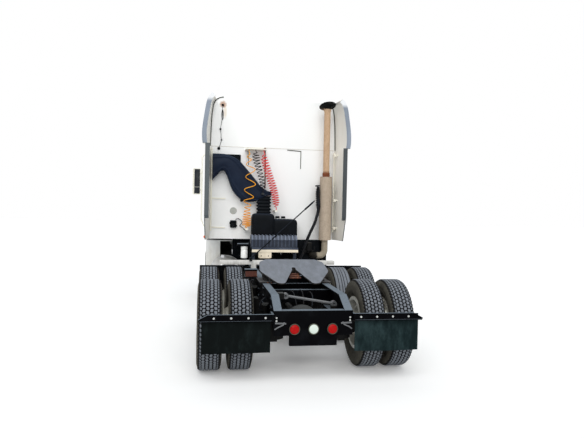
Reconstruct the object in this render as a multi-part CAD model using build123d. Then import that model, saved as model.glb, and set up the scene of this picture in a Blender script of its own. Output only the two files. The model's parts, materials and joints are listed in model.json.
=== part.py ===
from build123d import *

import os
from math import cos, radians, sin, sqrt, tan

# Semi truck tractor unit: a high-roof sleeper cab over the engine, on a ladder frame
# with one steered axle and two driven axles on twin wheels.
# Millimetres. +X forward, +Y left, +Z up, the ground at Z = 0.
# A "back" value is a distance behind the bumper's front face, and a "side" value is a
# distance from the middle plane.

# Layout
BUMPER_TO_AXLE = 1330.0
WHEELBASE = 3217.0
TANDEM_SPACING = 1330.0
REAR_OVERHANG = 680.0
FRAME_LENGTH = BUMPER_TO_AXLE + WHEELBASE + TANDEM_SPACING + REAR_OVERHANG
HANGER_DEPTH = 30.0
HANGER_WEB = 18.0
HANGER_LIP = 8.0
FRONT_X = (FRAME_LENGTH + HANGER_DEPTH) / 2
SEAT_GAP = 0.3
DOOR_GAP = 6.0

# Frame
RAIL_SIDE = 432.0
RAIL_FLANGE = 89.0
RAIL_WALL = 10.0
RAIL_TOP = 925.0
RAIL_DEPTH = 270.0
RAIL_START = 230.0
RAIL_END_TOP = 797.0
RAIL_SLOPE_LENGTH = 280.0
RAIL_BOTTOM = RAIL_TOP - RAIL_DEPTH
RAIL_INNER = RAIL_SIDE - RAIL_FLANGE
CROSSMEMBER_BACKS = (2790.0, 3350.0, 4150.0, 5010.0, 5560.0)
CROSSMEMBER_DEPTH = 150.0
CROSSMEMBER_WIDTH = 80.0
END_PLATE = 12.0
END_PLATE_BOTTOM = 531.0
END_BAR_SIDE = 260.0
END_BAR_BOTTOM = 420.0
END_FLANGE = 90.0
LAMP_RADIUS = 57.0
LAMP_SPACING = 207.0
LAMP_HEIGHT = 601.0

# Mud flaps and fenders behind
HANGER_TOP = 766.0
HANGER_BOTTOM = 690.0
HANGER_SHOULDER = 1125.0
HANGER_TIP = 1222.0
FLAP_INNER = 462.0
FLAP_OUTER = 1185.0
FLAP_BOTTOM = 350.0
FLAP_WALL = 10.0
QUARTER_RADIUS = 612.0
QUARTER_WALL = 8.0
QUARTER_INNER = 560.0
QUARTER_OUTER = 1235.0

# Wheels
TYRE_RADIUS = 520.0
TYRE_WIDTH = 279.0
TREAD_WIDTH = 228.0
RIM_RADIUS = 286.0
RIM_FLANGE = 312.0
RIM_WALL = 14.0
RIM_HALF = 106.0
DUAL_SPACING = 344.0
DUAL_CENTRE = 926.0
FRONT_WHEEL_SIDE = 1015.0
HUB_HEIGHT = TYRE_RADIUS

# Steering
KINGPIN_SIDE = 872.0
KINGPIN_RADIUS = 24.0
KINGPIN_BOSS = 46.0
KINGPIN_HALF = 62.0
FORK_WALL = 30.0
SPINDLE_RADIUS = 40.0
ARM_BACK = 215.0
ARM_SIDE = 800.0
TIE_HEIGHT = 372.0

# Drive axles
AXLE_TUBE = 78.0
AXLE_SPINDLE = 56.0
AXLE_BOWL = 215.0

# Tanks: start behind the bumper, and how far ahead of the first drive axle each ends
TANK_START = 2120.0
TANK_AHEAD = 1067.0
SHORT_TANK_AHEAD = 1647.0
BATTERY_AHEAD = 1227.0

# Fifth wheel
FIFTH_AHEAD = 43.5
FIFTH_PIVOT_HEIGHT = 1030.0
FIFTH_TOP = 72.0
FIFTH_PLATE = 16.0
FIFTH_FRONT = 300.0
FIFTH_HORN = 475.0
FIFTH_SIDE = 457.0
FIFTH_SKIRT_SIDE = 405.0
FIFTH_LUG_SIDE = 300.0
FIFTH_TILT = 17.0
KINGPIN_HOLE = 25.6
FIFTH_PIN = 30.0

# Lamps in the bumper: inner and outer side, low and high Z, corner radius
HEADLAMP = (560.0, 860.0, 540.0, 700.0, 45.0)
FOG_LAMP = (640.0, 830.0, 425.0, 495.0, 30.0)

# Fenders over the steered wheels
FENDER_INNER = 640.0
FENDER_OUTER = 1145.0
FENDER_REAR_INNER = 880.0

# Cab
CAB_SIDE = 1135.0
CAB_FRONT = 60.0
CAB_BACK = 2850.0
CAB_FLOOR = 1345.0
CAB_SEAM = 2945.0
CAB_WALL = 50.0
FLOOR_WALL = 60.0
ROOF_WALL = 40.0
ROOF_RISE = 905.0
ROOF_CROWN = 35.0
ROOF_TUCK = 37.0
ROOF_CORNER = 190.0
ROOF_TOP = CAB_SEAM + ROOF_RISE
NOSE_BOTTOM = 950.0
NOSE_DEPTH = 100.0
SCREEN_BASE_BACK = 150.0
SCREEN_BASE = 1950.0
SCREEN_SIDE = 960.0
SCREEN_TOP_BACK = 300.0
SCREEN_HEADER = 155.0
SCREEN_TOP = CAB_SEAM - SCREEN_HEADER
BROW_BACK = 330.0
BROW_TOP_BACK = 375.0
BROW_RISE = 135.0
BROW_TOP = CAB_SEAM + BROW_RISE
ROOF_FRONT_BACK = 1450.0
TILT_BACK = 150.0
TILT_HEIGHT = 950.0
TILT_PIN = 22.0
TILT_BOSS = 34.0

DOOR_FRONT = 470.0
DOOR_BACK = 1400.0
DOOR_BOTTOM = 1395.0
DOOR_HEADER = 95.0
DOOR_TOP = CAB_SEAM - DOOR_HEADER
DOOR_WALL = 50.0
WINDOW_SILL = 1960.0
WINDOW_BAR = 90.0
WINDOW_CORNERS = ((0, 40), (1, 40), (2, 60), (3, 60))
HINGE_OUT = 15.0
HINGE_RADIUS = 15.0
HINGE_PIN = 7.0
HINGE_INSET = 165.0
HINGE_HEIGHTS = (DOOR_BOTTOM + HINGE_INSET, DOOR_TOP - HINGE_INSET - 45.0)

MIRROR_SIDE = 1369.0
MIRROR_HALF = 86.0
MIRROR_BACK = 395.0
MIRROR_DEPTH = 70.0
MIRROR_RIM = 12.0
MIRROR_DROP = 214.0
MIRROR_HEIGHT = 567.0
MIRROR_HIGH = CAB_SEAM - MIRROR_DROP
MIRROR_LOW = MIRROR_HIGH - MIRROR_HEIGHT
LOOP_SIDE = 1257.0
LOOP_FOOT = 1470.0
LOOP_RISE = 95.0
LOOP_HEAD = CAB_SEAM + LOOP_RISE

EXTENDER_LENGTH = 560.0
EXTENDER_FLARE = 55.0
EXTENDER_LIP = 75.0
EXTENDER_WALL = 14.0
# Upper fairing: (Y, height over the roof seam) of its root on the roof and of its rear edge
FAIRING_ROOT = [(1130, -20), (1122, 275), (1111, 485), (1100, 615), (1088, 725), (1060, 790), (1020, 820)]
FAIRING_EDGE = [(1234, -20), (1232, 325), (1212, 460), (1190, 600), (1168, 690), (1138, 755), (1090, 808)]

# Hoses behind the cab: side, lowest Z and carrier of each lower holder, then (Y, Z) of each route
DASH_DROP = 50.0
STAY_SIDE = 1076.0
HOSE_REACH = 250.0
HOSE_DROP = 61.0
HOSE_TOP = CAB_SEAM - HOSE_DROP
HOSE_COIL = 48.0
HOSE_ENDS = {
    "air_line_red": (-30.0, 1860.0, "wall"),
    "air_line_yellow": (470.0, 1540.0, "wall"),
    "cable_black": (205.0, 2150.0, "duct"),
}
HOSE_ROUTES = {
    "air_line_red": [(200, HOSE_TOP), (200, 2750), (152, 2590), (92, 2420), (30, 2250), (-14, 2080),
                     (-30, 1950), (-30, 1860)],
    "air_line_yellow": [(456, HOSE_TOP), (456, 2740), (430, 2580), (412, 2420), (424, 2260), (446, 2090),
                        (462, 1920), (470, 1740), (470, 1540)],
    "cable_black": [(340, HOSE_TOP), (340, 2760), (302, 2620), (256, 2480), (220, 2340), (205, 2230),
                    (205, 2150)],
}

# Exhaust, intake and deck
DUCT_DEPTH = 180.0
CLEANER_FRONT = 2900.0
CLEANER_BACK = 3200.0
CLEANER_TOP = 1790.0
BELLOWS_TOP = 2100.0
STACK_BACK = 3057.0
STACK_SIDE = 905.0
STACK_PIPE = 55.0
MUFFLER_RADIUS = 106.0
MUFFLER_BOTTOM = 1355.0
MUFFLER_TOP = 2460.0
STACK_TOP = 3640.0
ELBOW_HEIGHT = 1085.0
ELBOW_SIDE = 700.0
HAT_RADIUS = 146.0
HAT_RISE = 62.0
HAT_PITCH = 19.0

parts = {}


def at(back):
    """X of a point a given distance behind the bumper's front face."""
    return FRONT_X - back


FRONT_AXLE = at(BUMPER_TO_AXLE)
DRIVE_AXLES = {
    "front": at(BUMPER_TO_AXLE + WHEELBASE),
    "rear": at(BUMPER_TO_AXLE + WHEELBASE + TANDEM_SPACING),
}
FRAME_END = at(FRAME_LENGTH)
TANDEM_CENTRE = (DRIVE_AXLES["front"] + DRIVE_AXLES["rear"]) / 2
FIFTH_PIVOT_X = TANDEM_CENTRE + FIFTH_AHEAD


def block(x, y, z):
    """Box between two X, two Y and two Z values, each pair in any order."""
    size = [abs(pair[1] - pair[0]) for pair in (x, y, z)]
    middle = [(pair[0] + pair[1]) / 2 for pair in (x, y, z)]
    return Pos(*middle) * Box(*size)


def rod(axis, start, end, across, radius):
    """Cylinder along axis X, Y or Z; across holds its two other coordinates in X, Y, Z order."""
    length = abs(end - start)
    middle = (start + end) / 2
    if axis == "X":
        return Pos(middle, *across) * Rot(0, 90, 0) * Cylinder(radius, length)
    if axis == "Y":
        return Pos(across[0], middle, across[1]) * Rot(90, 0, 0) * Cylinder(radius, length)
    return Pos(*across, middle) * Cylinder(radius, length)


def side_prism(points, y0, y1, fillets=()):
    """Outline of (X, Z) points, thick from Y y0 to y1; fillets are (corner index, radius)."""
    return prism(Plane.XZ, points, -max(y0, y1), abs(y1 - y0), fillets)


def end_prism(points, x0, x1, fillets=()):
    """Outline of (Y, Z) points, thick from X x0 to x1."""
    return prism(Plane.YZ, points, min(x0, x1), abs(x1 - x0), fillets)


def top_prism(points, z0, z1, fillets=()):
    """Outline of (X, Y) points, thick from Z z0 to z1."""
    return prism(Plane.XY, points, min(z0, z1), abs(z1 - z0), fillets)


def prism(plane, points, offset, thickness, fillets):
    """Outline drawn on a plane at an offset along its normal, and its thickness."""
    face = make_face(Polyline(*points, close=True))
    for index, radius in fillets:
        corner = points[index]
        vertex = min(face.vertices(), key=lambda v: (v.X - corner[0]) ** 2 + (v.Y - corner[1]) ** 2)
        face = fillet(vertex, radius)
    located = plane.offset(offset) * face
    return extrude(located, thickness, dir=plane.z_dir)


def both(shape):
    """The shape and its mirror image in the middle plane."""
    return [shape, shape.mirror(Plane.XZ)]


def spun(points):
    """Closed (along, radius) outline turned about the Y axis."""
    return revolve(make_face(Polyline(*[(radius, along) for along, radius in points], close=True)), Axis.Y)


def fused(pieces):
    """One body from pieces that meet."""
    first, *rest = pieces
    return first.fuse(*rest) if rest else first


def keep(node, shapes):
    """Store the solids of one node."""
    flat = []
    for shape in shapes if isinstance(shapes, (list, tuple)) else [shapes]:
        flat += list(shape.solids())
    parts[node] = flat


def frame():
    """Two channel rails with sloping ends, crossmembers and the closing plate."""
    start, bend, end = at(RAIL_START), FRAME_END + RAIL_SLOPE_LENGTH, FRAME_END + END_PLATE
    outline = [(start, RAIL_BOTTOM), (start, RAIL_TOP), (bend, RAIL_TOP),
               (end, RAIL_END_TOP), (end, RAIL_BOTTOM)]
    wall = RAIL_WALL
    hollow = [(start + wall, RAIL_BOTTOM + wall), (start + wall, RAIL_TOP - wall),
              (bend, RAIL_TOP - wall), (end - wall, RAIL_END_TOP - wall),
              (end - wall, RAIL_BOTTOM + wall)]
    rail = side_prism(outline, RAIL_INNER, RAIL_SIDE)
    rail -= side_prism(hollow, RAIL_INNER - wall, RAIL_SIDE - wall)
    keep("frame_rails", both(rail))

    web = RAIL_SIDE - RAIL_WALL
    members = []
    middle = (RAIL_TOP + RAIL_BOTTOM) / 2
    low, high = middle - CROSSMEMBER_DEPTH / 2, middle + CROSSMEMBER_DEPTH / 2
    for back in CROSSMEMBER_BACKS:
        x = at(back)
        member = block((x, x + CROSSMEMBER_WIDTH), (-web, web), (low, high))
        member -= block((x + wall, x + CROSSMEMBER_WIDTH + wall), (-web - 1, web + 1),
                        (low + wall, high - wall))
        members.append(member)
    keep("crossmembers", members)

    face = FRAME_END
    plate = block((face, face + END_PLATE), (-RAIL_SIDE, RAIL_SIDE), (END_PLATE_BOTTOM, RAIL_END_TOP))
    bar = block((face, face + 40), (-END_BAR_SIDE, END_BAR_SIDE), (END_BAR_BOTTOM, END_PLATE_BOTTOM))
    gusset = side_prism([(face + END_PLATE, END_PLATE_BOTTOM), (face + END_PLATE, RAIL_BOTTOM),
                         (face + 190, RAIL_BOTTOM), (face + 150, RAIL_BOTTOM - 25)],
                        RAIL_SIDE - 8, RAIL_SIDE)
    reach = RAIL_INNER - SEAT_GAP
    flange = block((face + END_PLATE, face + END_FLANGE), (-reach, reach),
                   (RAIL_END_TOP - END_PLATE, RAIL_END_TOP))
    keep("rear_crossmember", fused([plate, bar, flange, *both(gusset)]))

    lamps = []
    for side in (-LAMP_SPACING, 0, LAMP_SPACING):
        body = rod("X", face, face - 18, (side, LAMP_HEIGHT), LAMP_RADIUS)
        lens = rod("X", face - 18, face - 28, (side, LAMP_HEIGHT), LAMP_RADIUS - 5)
        lamps.append(body + lens)
    keep("rear_lamps", lamps)


def mudguards():
    """Hanger bars, flaps and the quarter fenders ahead of the first drive wheels."""
    face = FRAME_END
    bar = end_prism([(RAIL_SIDE, HANGER_TOP), (HANGER_SHOULDER, HANGER_TOP),
                     (HANGER_TIP, HANGER_TOP - 52), (HANGER_TIP - 8, HANGER_BOTTOM),
                     (RAIL_SIDE, HANGER_BOTTOM)], face - HANGER_DEPTH, face)
    lip = HANGER_LIP
    bar -= end_prism([(RAIL_SIDE + lip, HANGER_TOP - lip), (HANGER_SHOULDER - lip / 3, HANGER_TOP - lip),
                      (HANGER_TIP - lip, HANGER_TOP - 52 - lip / 2),
                      (HANGER_TIP - 8 - lip, HANGER_BOTTOM + lip), (RAIL_SIDE + lip, HANGER_BOTTOM + lip)],
                     face - HANGER_DEPTH - 1, face - HANGER_WEB)
    foot = block((face - HANGER_DEPTH, face + 130), (RAIL_SIDE, RAIL_SIDE + 22),
                 (HANGER_BOTTOM, HANGER_TOP))
    keep("mudflap_hangers", both(fused([bar, foot])))
    flap = block((face, face + FLAP_WALL), (FLAP_INNER, FLAP_OUTER), (FLAP_BOTTOM, HANGER_TOP - 8))
    keep("mudflaps", both(flap))

    centre = DRIVE_AXLES["front"]
    outer = rod("Y", QUARTER_INNER, QUARTER_OUTER, (centre, HUB_HEIGHT), QUARTER_RADIUS + QUARTER_WALL)
    inner = rod("Y", QUARTER_INNER - 5, QUARTER_OUTER + 5, (centre, HUB_HEIGHT), QUARTER_RADIUS)
    reach = 2 * QUARTER_RADIUS
    low, high = radians(8), radians(55)
    wedge = side_prism([(centre, HUB_HEIGHT), (centre + reach * cos(low), HUB_HEIGHT + reach * sin(low)),
                        (centre + reach * cos(high), HUB_HEIGHT + reach * sin(high))],
                       QUARTER_INNER - 5, QUARTER_OUTER + 5)
    shell = (outer - inner) & wedge
    turn = radians(28)
    arm_x = centre + (QUARTER_RADIUS + QUARTER_WALL + 12) * cos(turn)
    arm_z = HUB_HEIGHT + (QUARTER_RADIUS + QUARTER_WALL + 12) * sin(turn)
    arm = rod("Y", RAIL_SIDE, QUARTER_OUTER - 40, (arm_x, arm_z), 17)
    keep("quarter_fenders", both(fused([shell, arm])))


def tyre_solid(side):
    """Tyre with a flat tread, rounded shoulders and sidewalls tapering to the bead."""
    half, tread = TYRE_WIDTH / 2, TREAD_WIDTH / 2
    bead = RIM_RADIUS + SEAT_GAP
    bead_half = RIM_HALF - 3
    above_flange = RIM_FLANGE + 9
    profile = [(-bead_half, bead), (bead_half, bead), (bead_half + 1, above_flange), (half, 410),
               (half - 6, 470), (tread, TYRE_RADIUS - 12), (tread - 16, TYRE_RADIUS),
               (16 - tread, TYRE_RADIUS), (-tread, TYRE_RADIUS - 12), (6 - half, 470), (-half, 410),
               (-bead_half - 1, above_flange)]
    return Pos(0, side, 0) * spun(profile)


def rim_barrel(side):
    """Drop-centre rim with flanges, as a ring."""
    wall = RIM_WALL
    edge = RIM_HALF + 12
    outline = [(-edge, RIM_FLANGE), (-RIM_HALF, RIM_FLANGE), (1 - RIM_HALF, RIM_RADIUS),
               (RIM_HALF - 1, RIM_RADIUS), (RIM_HALF, RIM_FLANGE), (edge, RIM_FLANGE),
               (edge, RIM_RADIUS - wall), (-edge, RIM_RADIUS - wall)]
    return Pos(0, side, 0) * spun(outline)


def wheel_disc(side, outward, dish):
    """Dished disc from the hub flange to the rim, with hand holes."""
    flange = side + outward * dish
    rim_edge = RIM_RADIUS - RIM_WALL + 4
    t = 14
    outline = [(flange, 70), (flange + outward * t, 70), (flange + outward * t, 178),
               (side + outward * t, rim_edge), (side, rim_edge), (flange, 172)]
    disc = spun(outline)
    for index in range(8):
        turn = index * 45
        hole = Rot(0, turn, 0) * Pos(225, side + outward * dish / 2, 0) * Rot(90, 0, 0)
        disc -= hole * Cylinder(24, 260)
    return disc


def drive_wheels():
    """Twin wheels: two tyres, and two rims on one hub with its drum."""
    for row, x in DRIVE_AXLES.items():
        for name, sign in (("left", 1), ("right", -1)):
            place = Pos(x, sign * DUAL_CENTRE, HUB_HEIGHT)
            half = DUAL_SPACING / 2
            tyres = [place * tyre_solid(side) for side in (-half, half)]
            keep(f"tyres_{row}_drive_{name}", tyres)
            pieces = [rim_barrel(-half), rim_barrel(half)]
            pieces.append(wheel_disc(sign * half, -sign, half - 8))
            pieces.append(wheel_disc(-sign * half, sign, half - 22))
            out = sign
            hub = spun([(-out * 200, AXLE_SPINDLE + SEAT_GAP), (out * 120, AXLE_SPINDLE + SEAT_GAP),
                        (out * 120, 0.01), (out * 150, 0.01), (out * 150, 70), (out * 96, 84),
                        (out * 8, 100), (-out * 60, 105), (-out * 60, 205), (-out * 238, 205),
                        (-out * 238, 190), (-out * 80, 190), (-out * 80, 105), (-out * 200, 90)])
            pieces.append(hub)
            keep(f"rims_{row}_drive_{name}", place * fused(pieces))


def front_wheels():
    """Single steered wheels with their hubs and drums."""
    for name, sign in (("left", 1), ("right", -1)):
        place = Pos(FRONT_AXLE, sign * FRONT_WHEEL_SIDE, HUB_HEIGHT)
        keep(f"tyre_steer_{name}", place * tyre_solid(0))
        out = sign
        hub = spun([(-out * 42, SPINDLE_RADIUS + SEAT_GAP), (out * 118, SPINDLE_RADIUS + SEAT_GAP),
                    (out * 118, 0.01), (out * 136, 0.01), (out * 136, 66), (out * 96, 82), (out * 70, 100),
                    (-out * 4, 104), (-out * 4, 200), (-out * 96, 200), (-out * 96, 186),
                    (-out * 22, 186), (-out * 22, 90), (-out * 42, 80)])
        pieces = [rim_barrel(0), wheel_disc(0, out, 62), hub]
        keep(f"rim_steer_{name}", place * fused(pieces))


def front_axle():
    """Dropped beam with king pin eyes, leaf springs and their hangers."""
    x = FRONT_AXLE
    eye = KINGPIN_SIDE
    low = 392
    beam = end_prism([(-eye, HUB_HEIGHT - 35), (-eye, HUB_HEIGHT + 35), (-eye + 90, HUB_HEIGHT + 30),
                      (-560, low + 90), (560, low + 90), (eye - 90, HUB_HEIGHT + 30), (eye, HUB_HEIGHT + 35),
                      (eye, HUB_HEIGHT - 35), (eye - 110, HUB_HEIGHT - 50), (590, low), (-590, low),
                      (-eye + 110, HUB_HEIGHT - 50)], x - 45, x + 45)
    bosses = [rod("Z", HUB_HEIGHT - KINGPIN_HALF, HUB_HEIGHT + KINGPIN_HALF, (x, sign * eye), KINGPIN_BOSS)
              for sign in (-1, 1)]
    beam = fused([beam, *bosses])
    for sign in (-1, 1):
        beam -= rod("Z", HUB_HEIGHT - KINGPIN_HALF - 5, HUB_HEIGHT + KINGPIN_HALF + 5, (x, sign * eye),
                    KINGPIN_RADIUS + SEAT_GAP)
    keep("front_axle", beam)

    seat = low + 90
    leaf_side = RAIL_SIDE - 45
    springs = []
    for count, half in enumerate((620, 520, 380, 240)):
        low_z, high_z = seat + (3 - count) * 16, seat + (4 - count) * 16
        springs.append(block((x - half, x + half), (leaf_side - 40, leaf_side + 40), (low_z, high_z)))
    pack = fused(springs)
    hangers = []
    for offset in (-600, 600):
        hangers.append(side_prism([(x + offset - 55, RAIL_BOTTOM), (x + offset + 55, RAIL_BOTTOM),
                                   (x + offset + 30, seat + 64), (x + offset - 30, seat + 64)],
                                  leaf_side - 40, leaf_side + 40))
    keep("front_springs", both(fused([pack, *hangers])))


def knuckles():
    """Forked knuckles with spindles and arms, and the rod that joins the arms."""
    x, z = FRONT_AXLE, HUB_HEIGHT
    for name, sign in (("left", 1), ("right", -1)):
        top = z + KINGPIN_HALF + 2
        low = z - KINGPIN_HALF - 2
        side = sign * KINGPIN_SIDE
        plate_side = sign * (KINGPIN_SIDE + 62)
        inner_side = sign * (KINGPIN_SIDE + 50)
        upper = block((x - 42, x + 42), (side - sign * 42, plate_side), (top, top + FORK_WALL))
        lower = block((x - 42, x + 42), (side - sign * 42, plate_side), (low - FORK_WALL, low))
        plate = block((x - 60, x + 60), (inner_side, plate_side + sign * 8),
                      (low - FORK_WALL, top + FORK_WALL))
        pin = rod("Z", low - FORK_WALL, top + FORK_WALL, (x, side), KINGPIN_RADIUS)
        spindle = rod("Y", plate_side, sign * (FRONT_WHEEL_SIDE + 104), (x, z), SPINDLE_RADIUS)
        arm = top_prism([(x - 20, side - sign * 42), (x + 35, side + sign * 40),
                         (x - 40, side + sign * 40), (x - ARM_BACK - 34, sign * ARM_SIDE + sign * 26),
                         (x - ARM_BACK - 34, sign * ARM_SIDE - sign * 30)], low - FORK_WALL, low)
        drop = rod("Z", TIE_HEIGHT + 26, low, (x - ARM_BACK, sign * ARM_SIDE), 18)
        keep(f"knuckle_{name}", fused([upper, lower, plate, pin, spindle, arm, drop]))
    reach = ARM_SIDE
    tie = rod("Y", -reach + 60, reach, (x - ARM_BACK, TIE_HEIGHT), 20)
    ends = rod("Z", TIE_HEIGHT - 24, TIE_HEIGHT + 26 - SEAT_GAP, (x - ARM_BACK, reach), 30)
    far = rod("Z", TIE_HEIGHT - 24, TIE_HEIGHT + 20, (x - ARM_BACK, -reach + 40), 30)
    keep("tie_rod", fused([tie, ends, far]))


def drive_line():
    """Drive axle housings with their differentials, and the propeller shafts."""
    housings = []
    for row, x in DRIVE_AXLES.items():
        z = HUB_HEIGHT
        tube = rod("Y", -660, 660, (x, z), AXLE_TUBE)
        bowl = Pos(x, 0, z) * Sphere(AXLE_BOWL)
        carrier = Pos(x + 180, 0, z) * Rot(0, 90, 0) * Cone(150, 70, 180)
        spindles = [rod("Y", sign * 640, sign * (DUAL_CENTRE + 110), (x, z), AXLE_SPINDLE)
                    for sign in (-1, 1)]
        seats = [block((x - 70, x + 70), (sign * 350, sign * 426), (z - 96, z)) for sign in (-1, 1)]
        housings.append(fused([tube, bowl, carrier, *spindles, *seats]))
    front, rear = DRIVE_AXLES["front"], DRIVE_AXLES["rear"]
    nose = 270
    between = rod("X", rear + nose + SEAT_GAP, front - AXLE_BOWL - SEAT_GAP, (0, HUB_HEIGHT), 48)
    gearbox_end = at(2640)
    main = rod("X", front + nose + SEAT_GAP, gearbox_end - SEAT_GAP, (0, HUB_HEIGHT), 55)
    keep("drive_axles", housings)
    keep("propshafts", [between, main])


def rear_suspension():
    """Trailing arms under each drive axle, with hangers and air springs."""
    pieces = []
    z = HUB_HEIGHT - 96
    for x in DRIVE_AXLES.values():
        hanger_x = x + 470
        arm = side_prism([(hanger_x + 30, 560), (hanger_x - 30, 590), (x + 90, z), (x - 380, z),
                          (x - 380, z - 30), (x - 90, z - 50), (x + 90, z - 50), (hanger_x - 10, 520)],
                         RAIL_SIDE - 84, RAIL_SIDE - 4)
        hanger = side_prism([(hanger_x - 70, RAIL_BOTTOM), (hanger_x + 70, RAIL_BOTTOM),
                             (hanger_x + 40, 540), (hanger_x - 40, 560)], RAIL_SIDE - 84, RAIL_SIDE - 4)
        spring = rod("Z", z, RAIL_BOTTOM, (x - 300, RAIL_SIDE - 44), 118)
        pieces += both(fused([arm, hanger, spring]))
    keep("rear_suspension", pieces)


def fifth_wheel():
    """Coupling plate with a throat and horns on two pivots, and the pedestals under it."""
    px, pz = FIFTH_PIVOT_X, FIFTH_PIVOT_HEIGHT
    low = FIFTH_TOP - FIFTH_PLATE
    half = [(FIFTH_FRONT, FIFTH_SIDE - 112), (FIFTH_FRONT - 100, FIFTH_SIDE - 20), (-90, FIFTH_SIDE),
            (-FIFTH_HORN, 262), (-FIFTH_HORN, 178), (-70, KINGPIN_HOLE + 6)]
    outline = [(x, -y) for x, y in half] + half[::-1]
    corners = [(0, 60), (1, 90), (2, 160), (3, 68), (4, 48), (7, 48), (8, 68), (9, 160), (10, 90), (11, 60)]
    plate = top_prism(outline, low, FIFTH_TOP, corners)
    slot = block((-80, 0), (-KINGPIN_HOLE, KINGPIN_HOLE), (low - 60, FIFTH_TOP + 1))
    hole = rod("Z", low - 60, FIFTH_TOP + 1, (0, 0), KINGPIN_HOLE)
    skirt_front = block((FIFTH_FRONT - 60, FIFTH_FRONT - 40), (-340, 340), (low - 50, low))
    skirts = [block((-120, FIFTH_FRONT - 110), (sign * FIFTH_SKIRT_SIDE, sign * (FIFTH_SKIRT_SIDE + 18)),
                    (low - 60, low)) for sign in (-1, 1)]
    throat = block((-60, 200), (-90, 90), (low - 50, low))
    lugs = []
    for sign in (-1, 1):
        lug = block((-60, 60), (sign * FIFTH_LUG_SIDE, sign * (FIFTH_LUG_SIDE + 34)), (-52, low))
        lugs.append(lug)
    top = fused([plate, skirt_front, *skirts, throat, *lugs])
    top -= slot
    top -= hole
    for sign in (-1, 1):
        top -= rod("Y", sign * (FIFTH_LUG_SIDE - 5), sign * (FIFTH_LUG_SIDE + 45), (0, 0),
                   FIFTH_PIN + SEAT_GAP)
    place = Pos(px, 0, pz) * Rot(0, -FIFTH_TILT, 0)
    keep("fifth_wheel_plate", place * top)

    stands = []
    for sign in (-1, 1):
        base = block((px - 230, px + 230), (sign * FIFTH_LUG_SIDE, sign * 470), (RAIL_TOP, RAIL_TOP + 16))
        stand = side_prism([(px - 130, RAIL_TOP), (px - 52, pz + 34), (px + 52, pz + 34),
                            (px + 130, RAIL_TOP)], sign * (FIFTH_LUG_SIDE + 42), sign * (FIFTH_LUG_SIDE + 96))
        pin = rod("Y", sign * (FIFTH_LUG_SIDE - 4), sign * (FIFTH_LUG_SIDE + 96), (px, pz), FIFTH_PIN)
        stands.append(fused([base, stand, pin]))
    keep("fifth_wheel_stands", stands)


def power_unit():
    """Engine as one plain mass with its gearbox, and the radiator ahead of it."""
    engine = block((at(620), at(1700)), (-RAIL_INNER + 12, RAIL_INNER - 12), (600, 1285))
    bell = Pos(at(1700 + 160), 0, 800) * Rot(0, 90, 0) * Cone(150, 250, 320)
    box = rod("X", at(2000), at(2640), (0, 700), 160)
    inner = RAIL_INNER - SEAT_GAP
    low = block((at(430), at(500)), (-inner, inner), (560, RAIL_TOP + SEAT_GAP))
    high = block((at(430), at(500)), (-470, 470), (RAIL_TOP + SEAT_GAP, 1290))
    keep("power_unit", [fused([engine, bell, box]), fused([low, high])])


def tanks():
    """Fuel tanks in straps on the rails, with the battery box on the right."""
    pieces = []
    radius = 300
    side = RAIL_SIDE + 40 + radius
    axle = BUMPER_TO_AXLE + WHEELBASE
    dome = 28
    for sign, start, end in ((1, TANK_START, axle - TANK_AHEAD), (-1, TANK_START, axle - SHORT_TANK_AHEAD)):
        body = rod("X", at(start), at(end), (sign * side, 700), radius)
        body = fillet(body.edges().filter_by(GeomType.CIRCLE), dome)
        neck = rod("Z", 990, 1012, (at(start + 420), sign * (side + 60)), 52)
        cap = rod("Z", 1010, 1036, (at(start + 420), sign * (side + 60)), 44)
        straps = []
        for back in (start + 180, end - 180):
            strap = rod("X", at(back - 30), at(back + 30), (sign * side, 700), radius + 6)
            foot = block((at(back - 30), at(back + 30)), (sign * RAIL_SIDE, sign * (side - 200)),
                         (RAIL_BOTTOM, 860))
            straps.append(strap + foot)
        pieces.append(fused([body, neck, cap, *straps]))
    box_front = at(axle - BATTERY_AHEAD)
    pieces.append(block((box_front, box_front - 440), (-RAIL_SIDE, -1060), (480, 880)))
    keep("tanks_and_battery_box", pieces)


def exhaust():
    """Upright exhaust: elbow, silencer, pipe and a shallow rain hat, on a stand from the rail."""
    x, y = at(STACK_BACK), -STACK_SIDE
    path = FilletPolyline((at(1960), -480, ELBOW_HEIGHT), (at(2060), -480, ELBOW_HEIGHT),
                          (at(2060), -ELBOW_SIDE, ELBOW_HEIGHT), (x, -ELBOW_SIDE, ELBOW_HEIGHT),
                          (x, y, ELBOW_HEIGHT), (x, y, MUFFLER_BOTTOM + 5), radius=95)
    elbow = sweep(path=path, sections=Plane(origin=path @ 0, z_dir=path % 0) * Circle(STACK_PIPE))
    muffler = rod("Z", MUFFLER_BOTTOM, MUFFLER_TOP, (x, y), MUFFLER_RADIUS)
    neck = rod("Z", MUFFLER_TOP, 2530, (x, y), STACK_PIPE + 8)
    pipe = rod("Z", MUFFLER_TOP, STACK_TOP, (x, y), STACK_PIPE)
    hat = Pos(x, y, STACK_TOP + HAT_RISE) * Rot(-6, HAT_PITCH, 0) * (
        Pos(0, 0, 13) * Cone(HAT_RADIUS, HAT_RADIUS - 60, 26) + Pos(0, 0, -6) * Cylinder(HAT_RADIUS, 12))
    posts = [rod("Z", STACK_TOP - 40, STACK_TOP + HAT_RISE - 4, (x, y + offset), 6)
             for offset in (STACK_PIPE + 5 - 2, -STACK_PIPE - 5 + 2)]
    keep("exhaust_stack", fused([elbow, muffler, neck, pipe, *posts, hat]))

    front = x + MUFFLER_RADIUS + SEAT_GAP
    post = block((front, front + 40), (y - 60, y + 60), (900, 2300))
    arm = block((front, front + 40), (y - 60, -RAIL_SIDE), (RAIL_TOP - 120, RAIL_TOP - 20))
    foot = block((front, front + 40), (y - 60, y + 60), (RAIL_TOP - 120, 900))
    keep("stack_stand", fused([post, arm, foot]))


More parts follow.
